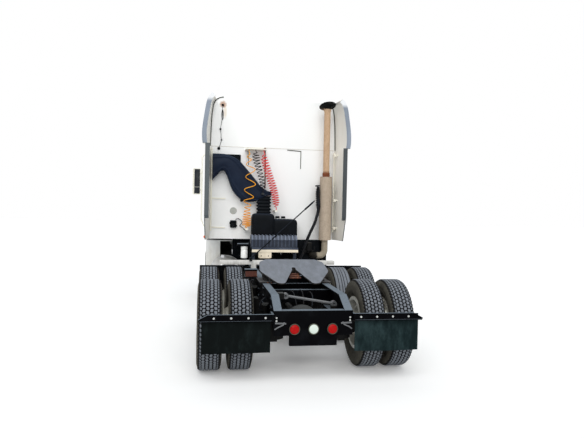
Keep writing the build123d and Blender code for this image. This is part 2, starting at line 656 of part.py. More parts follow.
def intake():
    """Air cleaner on the deck with its bellows, and the ribbed deck box."""
    front, rear = at(CLEANER_FRONT), at(CLEANER_BACK)
    tall = end_prism([(-11, 1300), (384, 1300), (384, CLEANER_TOP), (-11, CLEANER_TOP)], front, rear,
                     [(1, 60), (2, 90), (3, 60)])
    short = end_prism([(-11, 1300), (-11, 1700), (-398, 1700), (-398, 1300)], front, rear,
                      [(2, 110), (3, 40)])
    folds = 5
    pitch = (BELLOWS_TOP - CLEANER_TOP) / folds
    bellows = []
    for step in range(folds):
        z = CLEANER_TOP + pitch * step
        bellows.append(block((front - 4, front - 136), (40, 300), (z, z + pitch / 2)))
        bellows.append(block((front - 14, front - 126), (50, 290), (z + pitch / 2, z + pitch)))
    legs = [block((at(3000), at(3060)), (side - 30, side + 30), (RAIL_TOP, 1300)) for side in (-380, 370)]
    keep("air_cleaner", fused([tall, short, *bellows, *legs]))

    box = side_prism([(at(3290), 1245), (at(3290), 1434), (at(3480), 1434), (at(3540), 1373),
                      (at(3540), 1245)], -338, 425)
    stand = [block((at(3390), at(3440)), (side - 25, side + 25), (RAIL_TOP, 1245)) for side in (-315, 375)]
    plate = end_prism([(91, 1240), (304, 1240), (304, 1073), (91, 1073)], at(3540), at(3552),
                      [(2, 22), (3, 22)])
    for side in (141, 256):
        plate -= rod("X", at(3538), at(3554), (side, 1110), 9)
    bar = block((at(3540), at(3562)), (-348, 411), (1172, 1214))
    bridge = block((at(3500), at(3552)), (-348, 411), (1214, 1245))
    beam = block((at(3610), at(3690)), (-930, 930), (985, 1050))
    pads = [block((at(3610), at(3690)), (sign * 350, sign * 430), (RAIL_TOP, 985)) for sign in (-1, 1)]
    ribs = []
    for index in range(13):
        y = -320 + index * 60.5
        ribs.append(side_prism([(at(3294), 1430), (at(3478), 1430), (at(3536), 1371), (at(3536), 1262),
                                (at(3552), 1262), (at(3552), 1376), (at(3484), 1446), (at(3294), 1446)],
                               y - 9, y + 9))
    keep("deck_box", [fused([box, *ribs, *stand, plate, bar, bridge]), fused([beam, *pads])])


def lamp_form(sign, place, x0, x1, inset=0):
    """Rounded lamp between two X values; place holds inner and outer side, low and high Z, and radius."""
    inner, outer, low, high, radius = place
    points = [(sign * (inner + inset), low + inset), (sign * (outer - inset), low + inset),
              (sign * (outer - inset), high - inset), (sign * (inner + inset), high - inset)]
    return end_prism(points, x0, x1, [(index, radius - inset) for index in range(4)])


def nose():
    """Bumper with its lamps, the step boxes and the fenders over the steered wheels."""
    bumper = top_prism([(at(0), -900), (at(0), 900), (at(60), 1130), (at(200), 1130), (at(200), 1090),
                        (at(90), 1060), (at(60), 880), (at(60), -880), (at(90), -1060), (at(200), -1090),
                        (at(200), -1130), (at(60), -1130)], 380, 820)
    for sign in (-1, 1):
        bumper -= lamp_form(sign, HEADLAMP, at(-10), at(45))
        bumper -= lamp_form(sign, FOG_LAMP, at(-10), at(30))
    bumper -= end_prism([(-420, 640), (420, 640), (380, 740), (-380, 740)], at(-10), at(25))
    brackets = [block((at(60), at(RAIL_START)), (sign * 350, sign * 425), (680, 800)) for sign in (-1, 1)]
    keep("front_bumper", fused([bumper, *brackets]))
    lamps = [lamp_form(sign, HEADLAMP, at(4), at(45), 2) for sign in (-1, 1)]
    lamps += [lamp_form(sign, FOG_LAMP, at(8), at(30), 2) for sign in (-1, 1)]
    keep("headlamps", lamps)

    x = FRONT_AXLE
    clear = 620
    back, front = at(1975), at(705)
    box = side_prism([(back, 790), (back, 1265), (at(260), 1265), (at(260), 400), (front, 400), (front, 790)],
                     FENDER_INNER, FENDER_OUTER)
    box -= rod("Y", 600, 1200, (x, HUB_HEIGHT), clear)
    shell = side_prism([(back + 16, 700), (back + 16, 1250), (front - 30, 1250), (front - 30, 700)],
                       FENDER_INNER - 10, FENDER_OUTER - 17)
    arch = rod("Y", 600, 1200, (x, HUB_HEIGHT), clear + 14)
    box -= shell - arch
    for low in (480, 760, 1020):
        box -= block((at(320), at(640)), (960, FENDER_OUTER + 5), (low, low + 190))
    box -= block((back - 1, back + 20), (FENDER_INNER - 1, FENDER_REAR_INNER), (700, 1250))
    bracket = block((at(1930), at(1975)), (RAIL_SIDE, FENDER_REAR_INNER + 10), (800, 880))
    bracket_front = block((at(560), at(620)), (RAIL_SIDE, FENDER_INNER + 20), (800, 880))
    keep("front_fenders", both(fused([box, bracket, bracket_front])))

    pivots = []
    x, z = at(TILT_BACK), TILT_HEIGHT
    for sign in (-1, 1):
        boss = rod("Y", sign * 380, sign * 420, (x, z), TILT_BOSS)
        arm = side_prism([(x + 20, z - 26), (x - 10, z + 30), (at(RAIL_START + 190), RAIL_TOP + 14),
                          (at(RAIL_START + 190), RAIL_TOP), (at(RAIL_START), RAIL_TOP),
                          (at(RAIL_START), RAIL_TOP - 90)], sign * 380, sign * 420)
        pin = rod("Y", sign * 330, sign * 420, (x, z), TILT_PIN)
        pivots.append(fused([boss, arm, pin]))
    keep("cab_pivots", pivots)


def cab_outline(inset):
    """Side outline of the cab below the roof seam, shrunk by an inset."""
    lean = (SCREEN_TOP_BACK - SCREEN_BASE_BACK) / (SCREEN_TOP - SCREEN_BASE)
    slant = inset * sqrt(1 + lean ** 2)
    floor = CAB_FLOOR + (FLOOR_WALL if inset else 0)
    return [(at(CAB_BACK - inset), floor), (at(CAB_BACK - inset), CAB_SEAM + (5 if inset else 0)),
            (at(BROW_BACK + slant), CAB_SEAM + (5 if inset else 0)),
            (at(SCREEN_TOP_BACK + slant), SCREEN_TOP), (at(SCREEN_BASE_BACK + slant), SCREEN_BASE),
            (at(CAB_FRONT + NOSE_DEPTH - 50 + inset), SCREEN_BASE - 20),
            (at(CAB_FRONT + NOSE_DEPTH - 50 + inset), floor)]


def plan_outline(inset):
    """Plan of the cab with its corner points, shrunk by an inset."""
    side = CAB_SIDE - inset
    front, back = at(CAB_FRONT + 20 + inset), at(CAB_BACK - inset)
    return [(back, -side), (back, side), (front, side), (front, -side)]


def cab():
    """Cab shell, hollow, with door and screen openings; roof cap, nose panel and screen."""
    corners = [(0, 45), (1, 45), (2, 170), (3, 170)]
    outer = side_prism(cab_outline(0), -CAB_SIDE, CAB_SIDE)
    outer &= top_prism(plan_outline(0), CAB_FLOOR - 5, CAB_SEAM + 5, corners)
    inner = side_prism(cab_outline(CAB_WALL), -CAB_SIDE, CAB_SIDE)
    inner &= top_prism(plan_outline(CAB_WALL), CAB_FLOOR - 5, CAB_SEAM + 10,
                       [(0, 20), (1, 20), (2, 130), (3, 130)])
    shell = outer - inner
    for sign in (-1, 1):
        shell -= block((at(DOOR_FRONT - DOOR_GAP), at(DOOR_BACK + DOOR_GAP)),
                       (sign * (CAB_SIDE - 120), sign * (CAB_SIDE + 20)),
                       (DOOR_BOTTOM - DOOR_GAP, DOOR_TOP + DOOR_GAP))
    lean = (SCREEN_TOP_BACK - SCREEN_BASE_BACK) / (SCREEN_TOP - SCREEN_BASE)
    screen_low, screen_high = SCREEN_BASE + 70, SCREEN_TOP - 60

    def screen_at(z, depth):
        return (at(SCREEN_BASE_BACK + (z - SCREEN_BASE) * lean + depth), z)

    cutter = side_prism([screen_at(screen_low, -200), screen_at(screen_high, -200),
                         screen_at(screen_high, 200), screen_at(screen_low, 200)], -SCREEN_SIDE, SCREEN_SIDE)
    shell -= cutter
    nose_wall = block((at(CAB_FRONT + NOSE_DEPTH - 50), at(CAB_FRONT + NOSE_DEPTH)),
                      (-SCREEN_SIDE, SCREEN_SIDE), (NOSE_BOTTOM, CAB_FLOOR))
    for sign in (-1, 1):
        nose_wall -= block((at(CAB_FRONT), at(TILT_BACK + 60)), (sign * 374, sign * 426),
                           (NOSE_BOTTOM - 1, TILT_HEIGHT + TILT_BOSS + 8))
    lugs = []
    for sign in (-1, 1):
        lug = block((at(CAB_FRONT + NOSE_DEPTH - 50), at(TILT_BACK + 42)), (sign * 334, sign * 374),
                    (TILT_HEIGHT - 42, TILT_HEIGHT + 42))
        lugs.append(lug)
    shell = fused([shell, nose_wall, *lugs])
    shell -= rod("Y", -390, 390, (at(TILT_BACK), TILT_HEIGHT), TILT_PIN + SEAT_GAP)
    hinge_x = at(DOOR_FRONT - DOOR_GAP / 2)
    hinges = []
    for sign in (-1, 1):
        side = sign * (CAB_SIDE + HINGE_OUT)
        for z in HINGE_HEIGHTS:
            pin = rod("Z", z - 12, z + 60, (hinge_x, side), HINGE_PIN)
            seat = rod("Z", z - 14, z, (hinge_x, side), HINGE_RADIUS)
            strap = block((hinge_x, hinge_x + 90), (sign * CAB_SIDE, sign * (CAB_SIDE + 8)), (z - 14, z))
            hinges.append(fused([pin, seat, strap]))
    keep("cab_shell", fused([shell, *hinges]))

    half = SCREEN_SIDE - SEAT_GAP
    glass = side_prism([screen_at(screen_low, 14), screen_at(screen_high, 14),
                        screen_at(screen_high, 26), screen_at(screen_low, 26)], -half, half)
    keep("windscreen", glass)

    top = SCREEN_BASE - 25
    panel = end_prism([(-SCREEN_SIDE, NOSE_BOTTOM), (-SCREEN_SIDE, top), (SCREEN_SIDE, top),
                       (SCREEN_SIDE, NOSE_BOTTOM)], at(CAB_FRONT), at(CAB_FRONT + NOSE_DEPTH - 50),
                      [(0, 40), (1, 90), (2, 90), (3, 40)])
    for slot in range(6):
        z = NOSE_BOTTOM + 90 + slot * 130
        half = 640 + 24 * slot
        panel -= end_prism([(-half, z), (-half, z + 80), (half, z + 80), (half, z)], at(CAB_FRONT - 5),
                           at(CAB_FRONT + 22), [(0, 25), (1, 25), (2, 25), (3, 25)])
    keep("nose_panel", panel)

    def roof_form(inset):
        back = at(CAB_BACK - inset)
        outline = [(back, CAB_SEAM), (back, ROOF_TOP - inset), (at(ROOF_FRONT_BACK), ROOF_TOP - inset),
                   (at(BROW_TOP_BACK + inset * 1.3), BROW_TOP - inset * 0.2),
                   (at(BROW_BACK + inset * 1.1), CAB_SEAM)]
        form = side_prism(outline, -CAB_SIDE, CAB_SIDE, [(1, 60), (2, 500)])
        side, edge = CAB_SIDE - inset, CAB_SIDE - ROOF_TUCK - inset
        top = ROOF_TOP - inset
        form &= end_prism([(-side, CAB_SEAM - 1), (-edge, top - ROOF_CROWN), (0, top),
                           (edge, top - ROOF_CROWN), (side, CAB_SEAM - 1)], at(0), at(CAB_BACK + 150),
                          [(1, ROOF_CORNER - inset), (2, 8000), (3, ROOF_CORNER - inset)])
        return form

    cap = roof_form(0) - roof_form(ROOF_WALL)
    keep("roof_cap", cap)


def window_outline(inset):
    """Corners of a door's window, shrunk by an inset."""
    front, back, bar = at(DOOR_FRONT), at(DOOR_BACK), WINDOW_BAR
    low, high = WINDOW_SILL + inset, DOOR_TOP - bar - inset
    return [(front - bar - 60 - inset, low), (front - bar - 130 - inset, high),
            (back + bar + inset, high), (back + bar + inset, low)]


def doors():
    """Doors as thick as the wall, hinged at their front edges, with glass and mirrors."""
    for name, sign in (("left", 1), ("right", -1)):
        inner, outer = CAB_SIDE - DOOR_WALL, CAB_SIDE
        front, back = at(DOOR_FRONT), at(DOOR_BACK)
        leaf = top_prism([(front, sign * outer), (back, sign * outer), (back, sign * inner),
                          (front - DOOR_WALL - 6, sign * inner)], DOOR_BOTTOM, DOOR_TOP)
        leaf -= side_prism(window_outline(0), sign * (inner - 5), sign * (outer + 5), WINDOW_CORNERS)
        hinge_x, hinge_side = at(DOOR_FRONT - DOOR_GAP / 2), sign * (outer + HINGE_OUT)
        for z in HINGE_HEIGHTS:
            barrel = rod("Z", z + SEAT_GAP, z + 60, (hinge_x, hinge_side), HINGE_RADIUS)
            strap = block((hinge_x, front - 90), (sign * outer, sign * (outer + 8)), (z + SEAT_GAP, z + 60))
            leaf = fused([leaf, barrel, strap])
            leaf -= rod("Z", z - 5, z + 65, (hinge_x, hinge_side), HINGE_PIN + SEAT_GAP)
        grip = back + 170
        leaf -= block((grip - 90, grip + 90), (sign * (outer - 22), sign * (outer + 5)), (1760, 1860))
        handle = block((grip - 100, grip + 100), (sign * (outer - 6), sign * (outer + 4)), (1822, 1848))
        leaf = fused([leaf, handle])
        keep(f"door_{name}", leaf)
        glass = side_prism(window_outline(SEAT_GAP), sign * (inner + 20), sign * (inner + 28), WINDOW_CORNERS)
        keep(f"door_glass_{name}", glass)

        x = at(MIRROR_BACK)
        roof_side = CAB_SIDE - ROOF_TUCK * LOOP_RISE / (ROOF_RISE - ROOF_CROWN)
        path = FilletPolyline((x, sign * CAB_SIDE, LOOP_FOOT), (x, sign * (CAB_SIDE + 60), LOOP_FOOT),
                              (x, sign * LOOP_SIDE, LOOP_FOOT + 140), (x, sign * LOOP_SIDE, LOOP_HEAD - 55),
                              (x, sign * (CAB_SIDE + 70), LOOP_HEAD), (x, sign * (roof_side + 1), LOOP_HEAD),
                              radius=24)
        loop = sweep(path=path, sections=Plane(origin=path @ 0, z_dir=path % 0) * Circle(14))
        near, far = sign * (MIRROR_SIDE - MIRROR_HALF), sign * (MIRROR_SIDE + MIRROR_HALF)
        head = end_prism([(near, MIRROR_LOW), (near, MIRROR_HIGH), (far, MIRROR_HIGH), (far, MIRROR_LOW)],
                         x - MIRROR_DEPTH / 2, x + MIRROR_DEPTH / 2, [(0, 30), (1, 30), (2, 30), (3, 30)])
        rim = sign * MIRROR_RIM
        head -= block((x - MIRROR_DEPTH / 2 - 1, x - MIRROR_DEPTH / 2 + 8), (near + rim, far - rim),
                      (MIRROR_LOW + MIRROR_RIM, MIRROR_HIGH - MIRROR_RIM))
        clamps = [block((x - 12, x + 12), (sign * LOOP_SIDE, sign * (MIRROR_SIDE - MIRROR_HALF)), (z, z + 30))
                  for z in (MIRROR_LOW + 90, MIRROR_HIGH - 120)]
        keep(f"mirror_{name}", fused([loop, head, *clamps]))


def fairing_strip(run, depth, x):
    """Face across X between a run of (Y, height over the seam) points and the same run moved inwards."""
    outer = [(y, CAB_SEAM + rise) for y, rise in run]
    inner = []
    for index, (y, z) in enumerate(outer):
        before, after = outer[max(index - 1, 0)], outer[min(index + 1, len(outer) - 1)]
        dy, dz = after[0] - before[0], after[1] - before[1]
        length = sqrt(dy ** 2 + dz ** 2)
        inner.append((y - depth * dz / length, z + depth * dy / length))
    edges = [Spline(*[(x, y, z) for y, z in outer]), Line((x, *outer[-1]), (x, *inner[-1])),
             Spline(*[(x, y, z) for y, z in inner[::-1]]), Line((x, *inner[0]), (x, *outer[0]))]
    return make_face(edges)


def cab_fittings():
    """Side extenders, intake duct, stays, dashboard with wheel, seats and bunk."""
    back = at(CAB_BACK)
    tip = back - EXTENDER_LENGTH
    wall = EXTENDER_WALL
    out = CAB_SIDE + EXTENDER_FLARE
    lower = top_prism([(back, CAB_SIDE - 46), (back, CAB_SIDE - 46 + wall), (tip, out),
                       (tip, out - EXTENDER_LIP), (tip + wall, out - EXTENDER_LIP),
                       (tip + wall, out - wall - 2)], 1350, CAB_SEAM - 15)
    lower -= side_prism([(tip - 10, 1340), (tip - 10, 1800), (tip + 110, 1340)], CAB_SIDE - 80, out + 10)
    root, edge = fairing_strip(FAIRING_ROOT, wall, back), fairing_strip(FAIRING_EDGE, wall, tip)
    upper = loft([root, edge], ruled=True)
    lip = extrude(fairing_strip(FAIRING_EDGE, EXTENDER_LIP, tip), wall, dir=(1, 0, 0))
    keep("side_extenders", both(fused([lower, upper, lip])))

    mouth = BELLOWS_TOP + 16
    duct = end_prism([(1059, 2350), (1059, 2800), (823, 2800), (600, 2700), (336, 2406), (193, 2240),
                      (40, 2175), (40, mouth), (308, mouth), (308, 2010), (534, 2010), (621, 2075),
                      (744, 2245), (902, 2520)], back, back - DUCT_DEPTH)
    keep("intake_duct", duct)

    stays = []
    for side in (-STAY_SIDE, STAY_SIDE):
        tube = rod("Z", 1480, CAB_SEAM - 45, (back - 70, side), 14)
        arms = [rod("X", back, back - 70, (side, z), 10) for z in (1560, 2040, CAB_SEAM - 75)]
        stays.append(fused([tube, *arms]))
    hose_x = back - HOSE_REACH
    arm = block((back, hose_x - 40), (160, 510), (HOSE_TOP, HOSE_TOP + 16))
    web = side_prism([(back, HOSE_TOP + 16), (back, HOSE_TOP + 45), (hose_x, HOSE_TOP + 16)], 320, 336)
    stays.append(fused([arm, web]))
    for name, (side, low, carrier) in HOSE_ENDS.items():
        start = back if carrier == "wall" else back - DUCT_DEPTH
        stays.append(block((start, hose_x - 34), (side - 20, side + 20), (low - 30, low)))
    keep("cab_stays", stays)
    for name, route in HOSE_ROUTES.items():
        points = [(hose_x, y, z) for y, z in route]
        runs = [sqrt((b[1] - a[1]) ** 2 + (b[2] - a[2]) ** 2) for a, b in zip(points, points[1:])]
        radii = []
        for index in range(1, len(points) - 1):
            before = Vector(*points[index]) - Vector(*points[index - 1])
            after = Vector(*points[index + 1]) - Vector(*points[index])
            turn = radians(before.get_angle(after))
            radii.append(0.45 * min(runs[index - 1], runs[index]) / tan(turn / 2))
        path = FilletPolyline(*points, radius=radii)
        tube = sweep(path=path, sections=Plane(origin=path @ 0, z_dir=path % 0) * Circle(HOSE_COIL))
        keep(name, tube)

    wall_face = at(CAB_FRONT + NOSE_DEPTH - 50 + CAB_WALL + SEAT_GAP)
    crest = SCREEN_BASE - DASH_DROP
    dash = side_prism([(wall_face, 1480), (wall_face, crest - 40), (at(330), crest), (at(520), crest - 100),
                       (at(560), 1480)], -950, 950)
    column = Pos(at(600), 420, 1800) * Rot(0, 55, 0) * Cylinder(28, 190)
    ring = Pos(at(655), 420, 1850) * Rot(0, 55, 0) * Torus(225, 16)
    hub = Pos(at(655), 420, 1850) * Rot(0, 55, 0) * Cylinder(60, 40)
    spokes = Pos(at(655), 420, 1850) * Rot(0, 55, 0) * Box(30, 440, 16)
    keep("dashboard", fused([dash, column, ring, hub, spokes]))

    floor = CAB_FLOOR + FLOOR_WALL
    seats = []
    for y in (-520.0, 520.0):
        base = block((at(1020), at(1480)), (y - 230, y + 230), (floor, 1850))
        rest = side_prism([(at(1400), 1850), (at(1480), 1850), (at(1620), 2560), (at(1500), 2560)],
                          y - 230, y + 230)
        seats.append(fused([base, rest]))
    bunk = block((at(1980), at(CAB_BACK - CAB_WALL)), (-1050, 1050), (floor, 1900))
    keep("seats_and_bunk", [*seats, bunk])


def write():
    """Write one file per node."""
    os.makedirs("parts", exist_ok=True)
    for node, solids in parts.items():
        shape = solids[0] if len(solids) == 1 else Compound(children=solids)
        export_step(shape, f"parts/{node}.step")


frame()
mudguards()
drive_wheels()
front_wheels()
front_axle()
knuckles()
drive_line()
rear_suspension()
fifth_wheel()
power_unit()
tanks()
exhaust()
intake()
nose()
cab()
doors()
cab_fittings()
write()
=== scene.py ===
"""Looks of the tractor unit: a high-roof cab on a ladder frame, seen from behind.

Lengths are millimetres in the CAD part's frame (+X forward, +Y left, +Z up, ground at 0)
and turn into metres when a mesh or curve is made. Lengths in materials are metres.
"""

import json
import math

import bmesh
import bpy
import numpy as np
from mathutils import Matrix, Vector


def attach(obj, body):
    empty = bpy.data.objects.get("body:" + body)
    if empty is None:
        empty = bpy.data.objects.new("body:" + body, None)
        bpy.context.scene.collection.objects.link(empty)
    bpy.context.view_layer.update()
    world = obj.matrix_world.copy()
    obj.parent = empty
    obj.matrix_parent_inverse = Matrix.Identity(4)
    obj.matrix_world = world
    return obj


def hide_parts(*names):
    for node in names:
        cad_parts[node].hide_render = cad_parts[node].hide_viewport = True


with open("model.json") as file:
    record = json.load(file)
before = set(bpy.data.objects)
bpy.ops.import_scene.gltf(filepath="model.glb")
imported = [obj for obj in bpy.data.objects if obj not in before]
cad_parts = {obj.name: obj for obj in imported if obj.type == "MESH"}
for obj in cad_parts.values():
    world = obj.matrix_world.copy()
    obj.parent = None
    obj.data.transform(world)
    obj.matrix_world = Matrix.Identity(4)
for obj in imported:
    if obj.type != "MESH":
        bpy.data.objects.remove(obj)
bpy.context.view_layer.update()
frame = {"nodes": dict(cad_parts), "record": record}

MM = 0.001
AXIS = 0.01
HANDS = (("left", 1), ("right", -1))
FRONT_X = 3293.5
FRAME_END = -3263.5
FRONT_AXLE = 1963.5
DRIVE_AXLES = {"front": -1253.5, "rear": -2583.5}
WALL = 443.5
SEAM = 2945.0
HOSE_X = WALL - 250.0
SIDE_HOSE_X = 206.0
STACK_X = 236.5
DUAL_CENTRE, DUAL_SPACING, DISC_FACE = 926.0, 344.0, 36.0
STEER_SIDE, STEER_FACE = 1015.0, 76.0
HUB, TYRE_RADIUS, BEAD_RADIUS = 520.0, 520.0, 286.0
NUT_CIRCLE = 160.0
PIVOT_X, PIVOT_Z, PLATE_TILT = -1875.0, 1030.0, math.radians(17.0)
CAB_FLOOR, BUNK_FRONT, SEAT_SIDE, BACKREST_LEAN = 1405.0, 1984, 520.0, 0.165


def back(distance):
    """X of a point a distance behind the bumper's front face."""
    return FRONT_X - distance


def on_wall(*places):
    """Points from their depth behind the cab's rear wall, Y and Z."""
    return [(WALL - depth, y, z) for depth, y, z in places]


# Forms: a form is (points in an n by 3 array, list of arrays of faces with equal corner counts)


def circle(count):
    """Angles of a full turn in equal steps."""
    return np.linspace(0, 2 * math.pi, count, endpoint=False)


def squared(value, power):
    """A sine or cosine raised to a power with its sign kept, which squares a round shape."""
    return np.sign(value) * np.abs(value) ** power


def joined(*forms):
    """One form from several: points stacked, and each face's numbers raised by the points before it."""
    points, faces, start = [], [], 0
    for form_points, form_faces in forms:
        points.append(form_points)
        faces += [alike + start for alike in form_faces]
        start += len(form_points)
    return np.concatenate(points), faces


def grid(points, around=False, along=False):
    """Quads over rows and columns of points; around joins last column to first, along last row to first."""
    rows, columns = points.shape[:2]
    index = np.arange(rows * columns).reshape(rows, columns)
    if around:
        index = np.concatenate([index, index[:, :1]], 1)
    if along:
        index = np.concatenate([index, index[:1]], 0)
    quads = np.stack([index[:-1, :-1], index[:-1, 1:], index[1:, 1:], index[1:, :-1]], -1)
    return points.reshape(-1, 3), [quads.reshape(-1, 4)]


def capped(rings):
    """Closed form from rings of points (rings, points, 3): quads between rings and a face on each end."""
    points, faces = grid(rings, around=True)
    count = rings.shape[1]
    ends = np.arange(count)[None, :]
    return points, faces + [ends, ends + count * (rings.shape[0] - 1)]


def turned(profile, centre, axis, steps, closed=False):
    """Surface of revolution: each (along, radius) pair of a profile goes round the axis through a centre."""
    along, radius = np.asarray(profile, float).T
    first = radius[:, None] * np.cos(circle(steps))
    second = radius[:, None] * np.sin(circle(steps))
    third = np.repeat(along[:, None], steps, 1)
    order = {"X": (third, first, second), "Y": (first, third, second), "Z": (first, second, third)}
    return grid(np.stack(order[axis], -1) + np.asarray(centre, float), around=True, along=closed)


def stud(profile, centre, axis, steps):
    """Turned solid: a profile that is brought to the axis where it starts and ends."""
    shut = [(profile[0][0], AXIS), *profile, (profile[-1][0], AXIS)]
    if profile[-1][1] == AXIS:
        shut.pop()
    return turned(shut, centre, axis, steps)


def brick(x, y, z, edge=3.0):
    """Box between two X, two Y and two Z values, with top and foot inset by the edge to bevel their rims."""
    low, high = np.sort(np.array([x, y, z], float), axis=1).T
    corner = np.array([(0, 0), (1, 0), (1, 1), (0, 1)])
    wide = np.where(corner, high[:2], low[:2])
    inset = wide + np.where(corner, -edge, edge)
    levels = ((inset, low[2]), (wide, low[2] + edge), (wide, high[2] - edge), (inset, high[2]))
    return capped(np.stack([np.column_stack([ring, np.full(4, level)]) for ring, level in levels]))


def ball(power, steps):
    """Unit superellipsoid: cosines and sines of rise and turn are squared by a power."""
    rise = np.linspace(-math.pi / 2, math.pi / 2, steps // 2 + 1)[:, None]
    turn = circle(steps)[None, :]
    flat = squared(np.cos(rise), power)
    return (flat * squared(np.cos(turn), power), flat * squared(np.sin(turn), power),
            squared(np.sin(rise), power) * np.ones_like(turn))


def fitted(units, *ranges):
    """Form from unit lengths, widths and heights stretched between three pairs of values."""
    places = [(low + high) / 2 + unit * abs(high - low) / 2 for unit, (low, high) in zip(units, ranges)]
    return grid(np.stack(places, -1), around=True)


def smooth_path(corners, steps=6):
    """Run through corners: each span is a cubic between two corners, its tangents along their neighbours."""
    knots = np.asarray(corners, float)
    ends = np.concatenate([2 * knots[:1] - knots[1:2], knots, 2 * knots[-1:] - knots[-2:-1]])
    t = np.linspace(0, 1, steps, endpoint=False)[None, :, None]
    a, b, c, d = (ends[i:len(ends) - 3 + i, None, :] for i in range(4))
    square, cube = 2 * a - 5 * b + 4 * c - d, 3 * b - a - 3 * c + d
    run = 0.5 * (2 * b + (c - a) * t + square * t ** 2 + cube * t ** 3)
    return np.concatenate([run.reshape(-1, knots.shape[1]), knots[-1:]])


def frames_along(path):
    """Two normals at each point of a path; the first is nearest to the axis that the path leans to least."""
    tangent = np.gradient(path, axis=0)
    tangent /= np.linalg.norm(tangent, axis=1)[:, None]
    reference = np.eye(3)[int(np.argmin(np.abs(tangent).mean(0)))]
    first = reference - tangent * (tangent @ reference)[:, None]
    first /= np.linalg.norm(first, axis=1)[:, None]
    return first, np.cross(tangent, first)


def swept(path, section):
    """A closed section of (first, second) offsets carried along a path, with a face on each end."""
    path = np.asarray(path, float)
    section = np.asarray(section, float)
    first, second = frames_along(path)
    return capped(path[:, None, :] + section[None, :, :1] * first[:, None, :]
                  + section[None, :, 1:] * second[:, None, :])


def tube(path, radius, count=12):
    """A circle carried along a path."""
    turn = circle(count)
    return swept(path, np.stack([radius * np.cos(turn), radius * np.sin(turn)], 1))


def strip(path, width, height):
    """A rectangle carried along a path."""
    w, h = width / 2, height / 2
    return swept(path, [(-w, -h), (w, -h), (w, h), (-w, h)])


def repeated(faces, count, size):
    """Faces of a count of copies: each copy's numbers are raised by the size, the points of one form."""
    step = (np.arange(count) * size)[:, None, None]
    return [(alike[None] + step).reshape(-1, alike.shape[1]) for alike in faces]


def copies(form, places):
    """The same form at many places: points plus each place."""
    points, faces = form
    everywhere = points[None] + np.asarray(places, float)[:, None, :]
    return everywhere.reshape(-1, 3), repeated(faces, len(places), len(points))


def nuts(places, axis, radius, height):
    """Hexagon heads on round washers at many places, standing along an axis with its sign."""
    sign = -1 if axis.startswith("-") else 1
    rim, top, letter = radius * 1.35, sign * height, axis[-1]
    washer = stud([(0, rim), (sign * 2.5, rim)], (0, 0, 0), letter, 16)
    head = stud([(0, radius), (top * 0.8, radius), (top, radius * 0.8)], (0, 0, 0), letter, 6)
    return copies(joined(washer, head), places)


def placed(name, data, body, slot, finish_name=None, replaces=()):
    """An object riding on a body, with the named finish or else the slot's."""
    data.materials.append(FINISHES[finish_name or slot])
    made = bpy.data.objects.new(name, data)
    bpy.context.scene.collection.objects.link(made)
    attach(made, body)
    if replaces:
        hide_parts(*replaces)
    return made


def piece(name, forms, body, slot, finish_name=None, replaces=(), angle=35.0):
    """One piece from forms: doubles merged, faces turned outwards, edges above an angle kept sharp."""
    points, faces = joined(*forms)
    mesh = bpy.data.meshes.new(name)
    mesh.from_pydata((points * MM).tolist(), [], [face for alike in faces for face in alike.tolist()])
    cage = bmesh.new()
    cage.from_mesh(mesh)
    bmesh.ops.remove_doubles(cage, verts=cage.verts, dist=2e-5)
    bmesh.ops.recalc_face_normals(cage, faces=cage.faces)
    cage.to_mesh(mesh)
    cage.free()
    mesh.shade_smooth()
    mesh.set_sharp_from_angle(angle=math.radians(angle))
    return placed(name, mesh, body, slot, finish_name, replaces)


# Shader nodes


def tone(red, green, blue):
    """Linear colour of a display colour from 0 to 255."""
    values = np.array([red, green, blue]) / 255
    linear = np.where(values <= 0.04045, values / 12.92, ((values + 0.055) / 1.055) ** 2.4)
    return (*linear.tolist(), 1.0)


WHITE, BLACK, CREAM = tone(255, 255, 255), tone(0, 0, 0), tone(248, 245, 232)


def plug(made, values):
    """A node with each named input set to a value, or linked where the value is another node's output."""
    for key, value in values.items():
        if isinstance(value, bpy.types.NodeSocket):
            made.id_data.links.new(value, made.inputs[key])
        else:
            made.inputs[key].default_value = value
    return made


def node(tree, kind, inputs=None, **settings):
    """A node of a kind with its settings and inputs."""
    made = tree.nodes.new("ShaderNode" + kind)
    for name, value in settings.items():
        setattr(made, name, value)
    return plug(made, inputs or {})


def tree_of(*values):
    """The tree that the first output among some values belongs to."""
    return next(value.id_data for value in values if isinstance(value, bpy.types.NodeSocket))


def mixed(share, first, second, blend="MIX"):
    """Colour between two colours by a share."""
    return node(tree_of(share, first, second), "Mix", {0: share, 6: first, 7: second}, data_type="RGBA",
                blend_type=blend).outputs[2]


def sums(operation, *values):
    """Result of a maths node on values and outputs."""
    return node(tree_of(*values), "Math", dict(enumerate(values)), operation=operation).outputs[0]


def times(first, second):
    """Product of two values or outputs."""
    return sums("MULTIPLY", first, second)


def plus(first, second):
    """Sum of two values or outputs."""
    return sums("ADD", first, second)


def greater(first, second):
    """The greater of two values or outputs."""
    return sums("MAXIMUM", first, second)


def ramped(value, low, high):
    """0 below low, 1 above high and smooth between; falling where low is the greater."""
    return node(value.id_data, "MapRange", {"Value": value, "From Min": low, "From Max": high},
                interpolation_type="SMOOTHSTEP").outputs["Result"]


def clamped(value):
    """A value kept from 0 to 1."""
    return node(value.id_data, "Clamp", {"Value": value}).outputs[0]


def place(tree):
    """Where a point lies on the object, in metres."""
    return node(tree, "TexCoord").outputs["Object"]


def facing(tree):
    """The way a surface looks, as X, Y and Z."""
    return parts(node(tree, "NewGeometry").outputs["Normal"])


def parts(vector):
    """X, Y and Z of a vector."""
    return node(vector.id_data, "SeparateXYZ", {0: vector}).outputs


def vector_sums(operation, first, second):
    """Outputs of a vector maths node."""
    return node(first.id_data, "VectorMath", {0: first, 1: second}, operation=operation).outputs


